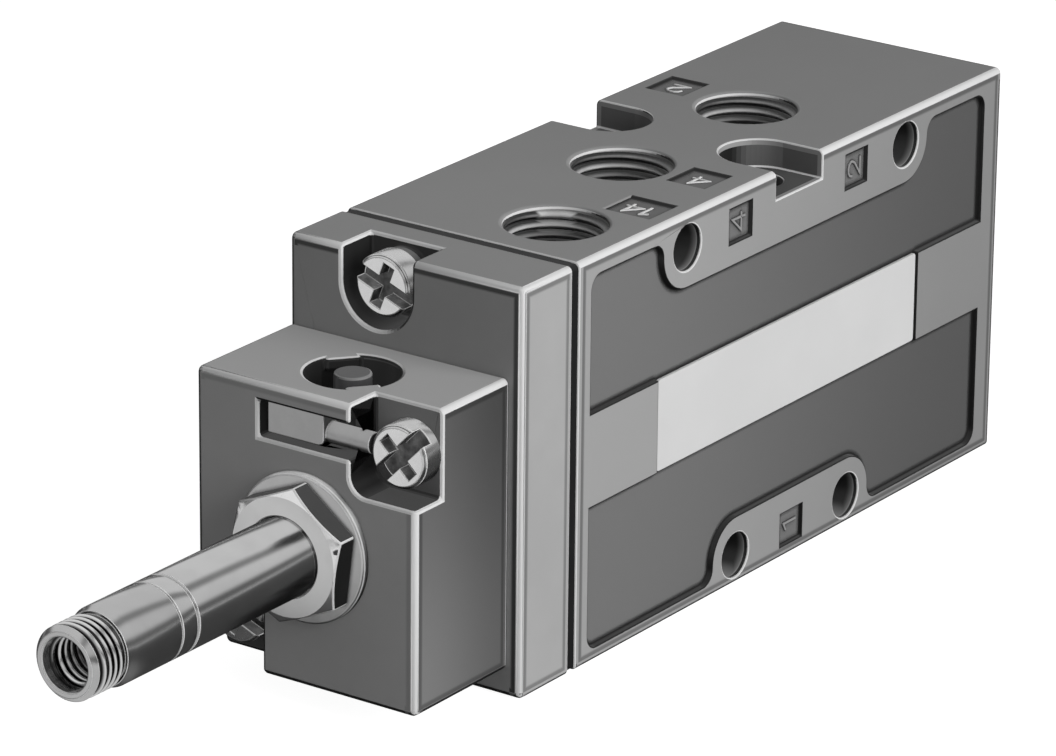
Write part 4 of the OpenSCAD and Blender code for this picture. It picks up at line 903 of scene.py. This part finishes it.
# Each piece's finish, then the finish of its narrow bevels and their width in millimetres
FINISHES = {
    "valve_body": (BODY_LACQUER, BODY_EDGE, 0.15), "end_cap": (CAP_LACQUER, CAP_EDGE, 0.3),
    "pilot_block": (BLOCK_LACQUER, BLOCK_EDGE, 0.3), "name_plate": (PLATE_SATIN, PLATE_EDGE, 0.06),
    "front_gasket": (GASKET_BLACK,), "pilot_gasket": (GASKET_BLACK,),
    "cap_screws": (CAP_SCREW_ZINC, METAL_GLINT, 0.06),
    "pilot_screws": (PILOT_SCREW_ZINC, METAL_GLINT, 0.06),
    "armature_tube": (TUBE_STEEL, METAL_GLINT, 0.04), "pole_core": (CORE_STEEL, METAL_GLINT, 0.06),
    "tube_nut": (NUT_NICKEL, METAL_GLINT, 0.13), "tube_washer": (WASHER_ZINC, METAL_GLINT, 0.08),
    "armature": (CORE_STEEL,), "valve_seat": (BRASS,), "spool": (SPOOL_GROUND,),
    "end_plug": (PLUG_TURNED, METAL_GLINT, 0.08), "seal_retainer": (WASHER_ZINC,),
    "retaining_ring": (RING_BLACK, METAL_GLINT, 0.05), "pilot_piston": (PISTON_PLASTIC,),
    "override_button": (BUTTON_PLASTIC, BUTTON_EDGE, 0.2),
    "override_retaining_pin": (PIN_STEEL, METAL_GLINT, 0.08),
}
SHARP = math.radians(30)
SAME_PLANE = math.radians(0.5)
SAME_POINT = 0.001 * MM


def break_edges(piece, finish, width):
    """Narrow bevels with a finish of their own on the sharp edges of a piece."""
    piece.data.materials.append(finish)
    weld = piece.modifiers.new("weld", "WELD")
    weld.merge_threshold = SAME_POINT
    join = piece.modifiers.new("join_flats", "DECIMATE")
    join.decimate_type = "DISSOLVE"
    join.angle_limit = SAME_PLANE
    edges = piece.modifiers.new("broken_edges", "BEVEL")
    edges.width = width * MM
    edges.segments = 2
    edges.limit_method = "ANGLE"
    edges.angle_limit = SHARP
    edges.miter_outer = "MITER_SHARP"
    edges.use_clamp_overlap = False
    edges.material = 1


def dress(name, node):
    """Gives a CAD piece its finish and its broken edges."""
    finish, *edge = FINISHES.get(name, (SEAL_RUBBER,))
    if "spring" in name:
        finish = SPRING_WIRE
    elif "cage" in name:
        finish = CAGE_PLASTIC
    node.data.materials.clear()
    node.data.materials.append(finish)
    if edge:
        break_edges(node, *edge)


for node_name, cad_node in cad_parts.items():
    dress(node_name, cad_node)

# The bright pieces mirror the studio and not the dark insides of the valve
for cad_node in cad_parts.values():
    cad_node.visible_glossy = False


# Threads and port numbers

def new_piece(name, mesh_maker, finish, body):
    """A mesh object made by mesh_maker(bmesh), with its finish, riding on a body."""
    shape = bmesh.new()
    mesh_maker(shape)
    bmesh.ops.recalc_face_normals(shape, faces=shape.faces)
    mesh = bpy.data.meshes.new(name)
    shape.to_mesh(mesh)
    shape.free()
    mesh.materials.append(finish)
    piece = bpy.data.objects.new(name, mesh)
    bpy.context.scene.collection.objects.link(piece)
    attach(piece, body)
    return piece


# Half widths of a thread ridge in turns, and the rise to its shoulder
RIDGE_FOOT = 0.47
RIDGE_SHOULDER = 0.12
RIDGE_CREST = 0.05
RIDGE_RISE = 0.86
RIDGE_SINK = 0.03 * MM
RIDGE_STEPS = 56


def add_ridge(shape, at, root_r, crest_r, pitch, length, fade=0.5):
    """A right-handed thread ridge that fades over fade turns at both ends.

    at is the matrix that puts the thread's axis, along +Z, in its place."""
    turns = length / pitch - 1
    sink = math.copysign(RIDGE_SINK, crest_r - root_r)
    rings = []
    for i in range(int(turns * RIDGE_STEPS) + 1):
        turn = i / RIDGE_STEPS
        height = (crest_r - root_r) * min(1, turn / fade, (turns - turn) / fade)
        flank = [(root_r - sink, RIDGE_FOOT), (root_r + height * RIDGE_RISE, RIDGE_SHOULDER),
                 (root_r + height, RIDGE_CREST)]
        profile = [(r, -share) for r, share in flank] + flank[::-1]
        angle = math.tau * turn
        rings.append([shape.verts.new(at @ Vector((r * math.cos(angle), r * math.sin(angle),
                                                   (turn + 0.5 + share) * pitch)))
                      for r, share in profile])
    for first, second in zip(rings, rings[1:]):
        for a in range(len(first)):
            b = (a + 1) % len(first)
            face = shape.faces.new((first[a], first[b], second[b], second[a]))
            face.smooth = True
    shape.faces.new(rings[0])
    shape.faces.new(rings[-1])


PORT_PITCH = 0.907 * MM
PORT_THREAD = 7.2 * MM
THREAD_START = Matrix.Rotation(math.radians(145), 4, "Z")

# Turns of a thread's axis, which runs along +Z
DOWN = Matrix.Rotation(math.pi, 4, "X")
ALONG_X = Matrix.Rotation(math.pi / 2, 4, "Y")


def port_thread(name, x, y, from_top):
    """The cut thread of one port, from its mouth inwards."""
    mouth = Matrix.Translation((x, y, BODY_HIGH.z if from_top else BODY_LOW.z))
    at = mouth @ (DOWN if from_top else Matrix.Identity(4)) @ THREAD_START
    new_piece(name + "_thread",
              lambda shape: add_ridge(shape, at, PORT_R, PORT_CREST_R, PORT_PITCH, PORT_THREAD, fade=1.0),
              TOP_THREAD if from_top else LOWER_THREAD, "housing")


for port, facts in PORTS.items():
    port_thread(port, *facts)


def thread_along_x(name, start_x, *sizes, **ridge):
    """A thread about the tube's axis, from start_x towards the body, with the sizes of add_ridge."""
    at = Matrix.Translation((start_x, TUBE_AXIS.y, TUBE_AXIS.z)) @ ALONG_X
    new_piece(name, lambda shape: add_ridge(shape, at, *sizes, **ridge),
              THREAD_STEEL, "housing")


thread_along_x("coil_nut_thread", COIL_THREAD_START, COIL_THREAD_ROOT, COIL_THREAD_CREST,
               COIL_THREAD_PITCH, COIL_THREAD_LENGTH, fade=0.15)
thread_along_x("vent_thread", VENT_START, VENT_ROOT, VENT_CREST, VENT_PITCH, VENT_LENGTH)

# Raised port numbers, drawn in millimetres as strokes with the digit's foot at zero
ONE = [[(-0.4, 2.05), (0.4, 2.5), (0.4, 0)]]
TWO = [[(-0.95, 1.75), (-0.8, 2.2), (-0.4, 2.46), (0.1, 2.5), (0.6, 2.36), (0.9, 2.0), (0.88, 1.6),
        (0.6, 1.15), (-0.95, 0), (1.05, 0)]]
FOUR = [[(0.55, 0), (0.55, 2.5), (-1.05, 0.7), (1.05, 0.7)]]
DIGIT_SCALE = 0.8
STROKE_HALF = 0.11
STROKE_FOOT = -0.05
STROKE_HEIGHT = 0.12
MITRE_LIMIT = 0.35
NUMBER_EDGE = 0.04
TOWARDS_TUBE = (-1, 0, 0)


def add_stroke(shape, at, points):
    """A raised line of constant width through points, with mitred corners."""
    points = [Vector(p) for p in points]
    ways = [(b - a).normalized() for a, b in zip(points, points[1:])]
    rows = []
    for i, point in enumerate(points):
        before, after = ways[max(0, i - 1)], ways[min(i, len(ways) - 1)]
        middle = (before + after).normalized()
        normal = Vector((-middle.y, middle.x))
        reach = STROKE_HALF / max(MITRE_LIMIT, normal.dot(Vector((-after.y, after.x))))
        end_shift = Vector((0, 0))
        if i == 0:
            end_shift = -ways[0] * STROKE_HALF
        elif i == len(points) - 1:
            end_shift = ways[-1] * STROKE_HALF
        sides = [point + end_shift + normal * reach, point + end_shift - normal * reach]
        rows.append([shape.verts.new(at @ Vector((side.x, side.y, height)))
                     for height in (STROKE_FOOT, STROKE_HEIGHT) for side in sides])
    for first, second in zip(rows, rows[1:]):
        for a, b in ((0, 1), (1, 3), (3, 2), (2, 0)):
            shape.faces.new((first[a], first[b], second[b], second[a]))
    shape.faces.new(rows[0])
    shape.faces.new(rows[-1])


def number_frame(place_at, right, up):
    """The matrix from a digit's millimetres to the valve: its right, its up and out of the face."""
    right, up = Vector(right), Vector(up)
    turn = Matrix((right, up, right.cross(up))).transposed().to_4x4()
    return Matrix.Translation(Vector(place_at) * MM) @ Matrix.Scale(MM, 4) @ turn


def port_number(name, place_at, right, finish, digits):
    """Digits side by side, their tops towards the tube. digits are (strokes, sideways shift) pairs."""
    at = number_frame(place_at, right, TOWARDS_TUBE)

    def draw(shape):
        for strokes, shift in digits:
            for stroke in strokes:
                add_stroke(shape, at, [(u * DIGIT_SCALE + shift, v * DIGIT_SCALE) for u, v in stroke])

    piece = new_piece(name, draw, finish, "housing")
    break_edges(piece, finish, NUMBER_EDGE)


# Where the digits stand, in millimetres on the floors of the labels
TOP_FLOOR = BODY_HIGH.z / MM - 0.3
SIDE_FLOOR = BODY_LOW.y / MM + 0.3
UPPER_LABEL_Z, LOWER_LABEL_Z = 36.15, 2.85
NUMBERS = {
    "number_14": ((-19.1, -8.55, TOP_FLOOR), [(ONE, -1.0), (FOUR, 0.75)]),
    "number_4": ((-8.95, -8.25, TOP_FLOOR), [(FOUR, 0)]),
    "number_2": ((12.95, 9.05, TOP_FLOOR), [(TWO, 0)]),
    "side_number_4": ((-8.95, SIDE_FLOOR, UPPER_LABEL_Z), [(FOUR, 0)]),
    "side_number_2": ((10.85, SIDE_FLOOR, UPPER_LABEL_Z), [(TWO, 0)]),
    "side_number_1": ((1.0, SIDE_FLOOR, LOWER_LABEL_Z), [(ONE, 0)]),
}
for number_name, (foot, digits) in NUMBERS.items():
    right, finish = ((0, 0, 1), NUMBER_GREY) if "side" in number_name else ((0, 1, 0), NUMBER_WHITE)
    port_number(number_name, foot, right, finish, digits)


# Studio

FLOOR_DROP = 0.03 * MM
FLOOR_HALF = 1.5
FLOOR_LEVEL = 0.4
FLOOR_GLOW = 0.93
FOOT_GLOW = 0.5
# Painted reflection: the floor's paint as bright metal mirrors it
MIRRORED_FLOOR = 0.12

# Painted reflection: where the floor is light in bright metal, and how much: far out, and in front of the
# tube
FAR_FLOOR = (0.12, 0.7)
FAR_LEVEL = 0.5
FRONT_FLOOR = (-0.074, -0.092)
FRONT_LEVEL = 0.6


def seen_directly(tree, path):
    """1 for what the camera sees, also through clear pieces."""
    return reckon(tree, "ADD", path.outputs["Is Camera Ray"], path.outputs["Is Transmission Ray"],
                  clamp=True)


def floor_finish():
    """Pale floor: nearly white to the camera, with the valve's shadow, and clear from below.

    Bright metal mirrors a painted reflection in it: dark near the valve, light further out and in
    front of the tube. Its glow under the valve, only for diffuse rays, keeps the underside from black."""
    finish, tree, shader = new_finish("studio_floor")
    path = place(tree, "ShaderNodeLightPath")
    mirrored = path.outputs["Is Glossy Ray"]
    x, y = parts_of(tree, here(tree))[:2]
    far = band(tree, distance(tree, x, y), *FAR_FLOOR, 0.0, FAR_LEVEL)
    front = band(tree, x, *FRONT_FLOOR, 0.0, FRONT_LEVEL)
    mirror_level = any_of(tree, far, front)
    glow = tint(tree, mirrored, grey(0.0), mirror_level)
    glow = tint(tree, seen_directly(tree, path), glow, grey(FLOOR_GLOW))
    under_foot = all_of(tree, between(tree, x, CAP_LOW.x + EDGE_INSET, BODY_HIGH.x - EDGE_INSET),
                        between(tree, y, BODY_LOW.y + EDGE_INSET, BODY_HIGH.y - EDGE_INSET),
                        path.outputs["Is Diffuse Ray"])
    glow = tint(tree, under_foot, glow, grey(FOOT_GLOW))
    feed(tree, shader, Base_Color=graded(tree, mirrored, (FLOOR_LEVEL, MIRRORED_FLOOR)), Roughness=0.8,
         Specular_IOR_Level=0.1, Emission_Color=glow, Emission_Strength=1.0)
    clear = place(tree, "ShaderNodeBsdfTransparent")
    under = place(tree, "ShaderNodeNewGeometry").outputs["Backfacing"]
    mixed = place(tree, "ShaderNodeMixShader", {0: under, 1: shader.outputs[0], 2: clear.outputs[0]})
    tree.links.new(mixed.outputs[0], tree.nodes["Material Output"].inputs["Surface"])
    return finish


def set_floor():
    """A wide square floor just under the valve."""
    shape = bmesh.new()
    level = BODY_LOW.z - FLOOR_DROP
    corners = [shape.verts.new((x * FLOOR_HALF, y * FLOOR_HALF, level))
               for x, y in ((-1, -1), (1, -1), (1, 1), (-1, 1))]
    shape.faces.new(corners)
    mesh = bpy.data.meshes.new("floor")
    shape.to_mesh(mesh)
    shape.free()
    mesh.materials.append(floor_finish())
    floor = bpy.data.objects.new("floor", mesh)
    bpy.context.scene.collection.objects.link(floor)


LAMP_DISTANCE = 0.6


def set_lamp(name, direction, size, power):
    """A soft panel that shines on the valve from direction, unseen in bright metal."""
    lamp = bpy.data.lights.new(name, "AREA")
    lamp.shape = "RECTANGLE"
    lamp.size, lamp.size_y = size
    lamp.energy = power
    holder = bpy.data.objects.new(name, lamp)
    bpy.context.scene.collection.objects.link(holder)
    out = Vector(direction).normalized()
    holder.location = VIEW_CENTRE + out * LAMP_DISTANCE
    holder.rotation_mode = "QUATERNION"
    holder.rotation_quaternion = out.to_track_quat("Z", "Y")
    holder.visible_glossy = False


AMBIENT = 0.18
# Level of the studio in bright metal, by the angle from +Y over the top to -Y as a share of a half turn
STUDIO_BANDS = [(0.0, 0.12), (0.07, 0.12), (0.11, 0.72), (0.54, 0.75), (0.6, 0.26), (0.645, 0.26),
                (0.7, 0.7), (0.86, 0.66), (0.92, 0.14), (0.965, 0.14), (1.0, 0.4)]


def set_surround():
    """White behind the valve, even light on it, and a banded studio in its bright metal."""
    world = bpy.data.worlds.new("studio")
    bpy.context.scene.world = world
    world.use_nodes = True
    tree = world.node_tree
    path = place(tree, "ShaderNodeLightPath")
    y, z = parts_of(tree, place(tree, "ShaderNodeTexCoord").outputs["Generated"])[1:]
    turn = reckon(tree, "DIVIDE", reckon(tree, "ARCTAN2", z, y), math.pi)
    ramp = place(tree, "ShaderNodeValToRGB", {"Fac": turn})
    stops = ramp.color_ramp.elements
    while len(stops) < len(STUDIO_BANDS):
        stops.new(0.5)
    for stop, (share, level) in zip(stops, STUDIO_BANDS):
        stop.position = share
        stop.color = grey(level)
    light = tint(tree, path.outputs["Is Glossy Ray"], grey(AMBIENT), ramp.outputs["Color"])
    background = tree.nodes["Background"]
    tree.links.new(tint(tree, seen_directly(tree, path), light, grey(1.0)), background.inputs["Color"])
    background.inputs["Strength"].default_value = 1.0


set_camera()
set_floor()
set_surround()
set_lamp("side_panel_lamp", direction=(-0.07, -0.92, 0.39), size=(0.5, 0.35), power=3.0)
set_lamp("far_side_lamp", direction=(0.5, 0.86, 0.0), size=(0.5, 0.08), power=2.4)
bpy.context.scene.view_settings.view_transform = "Standard"
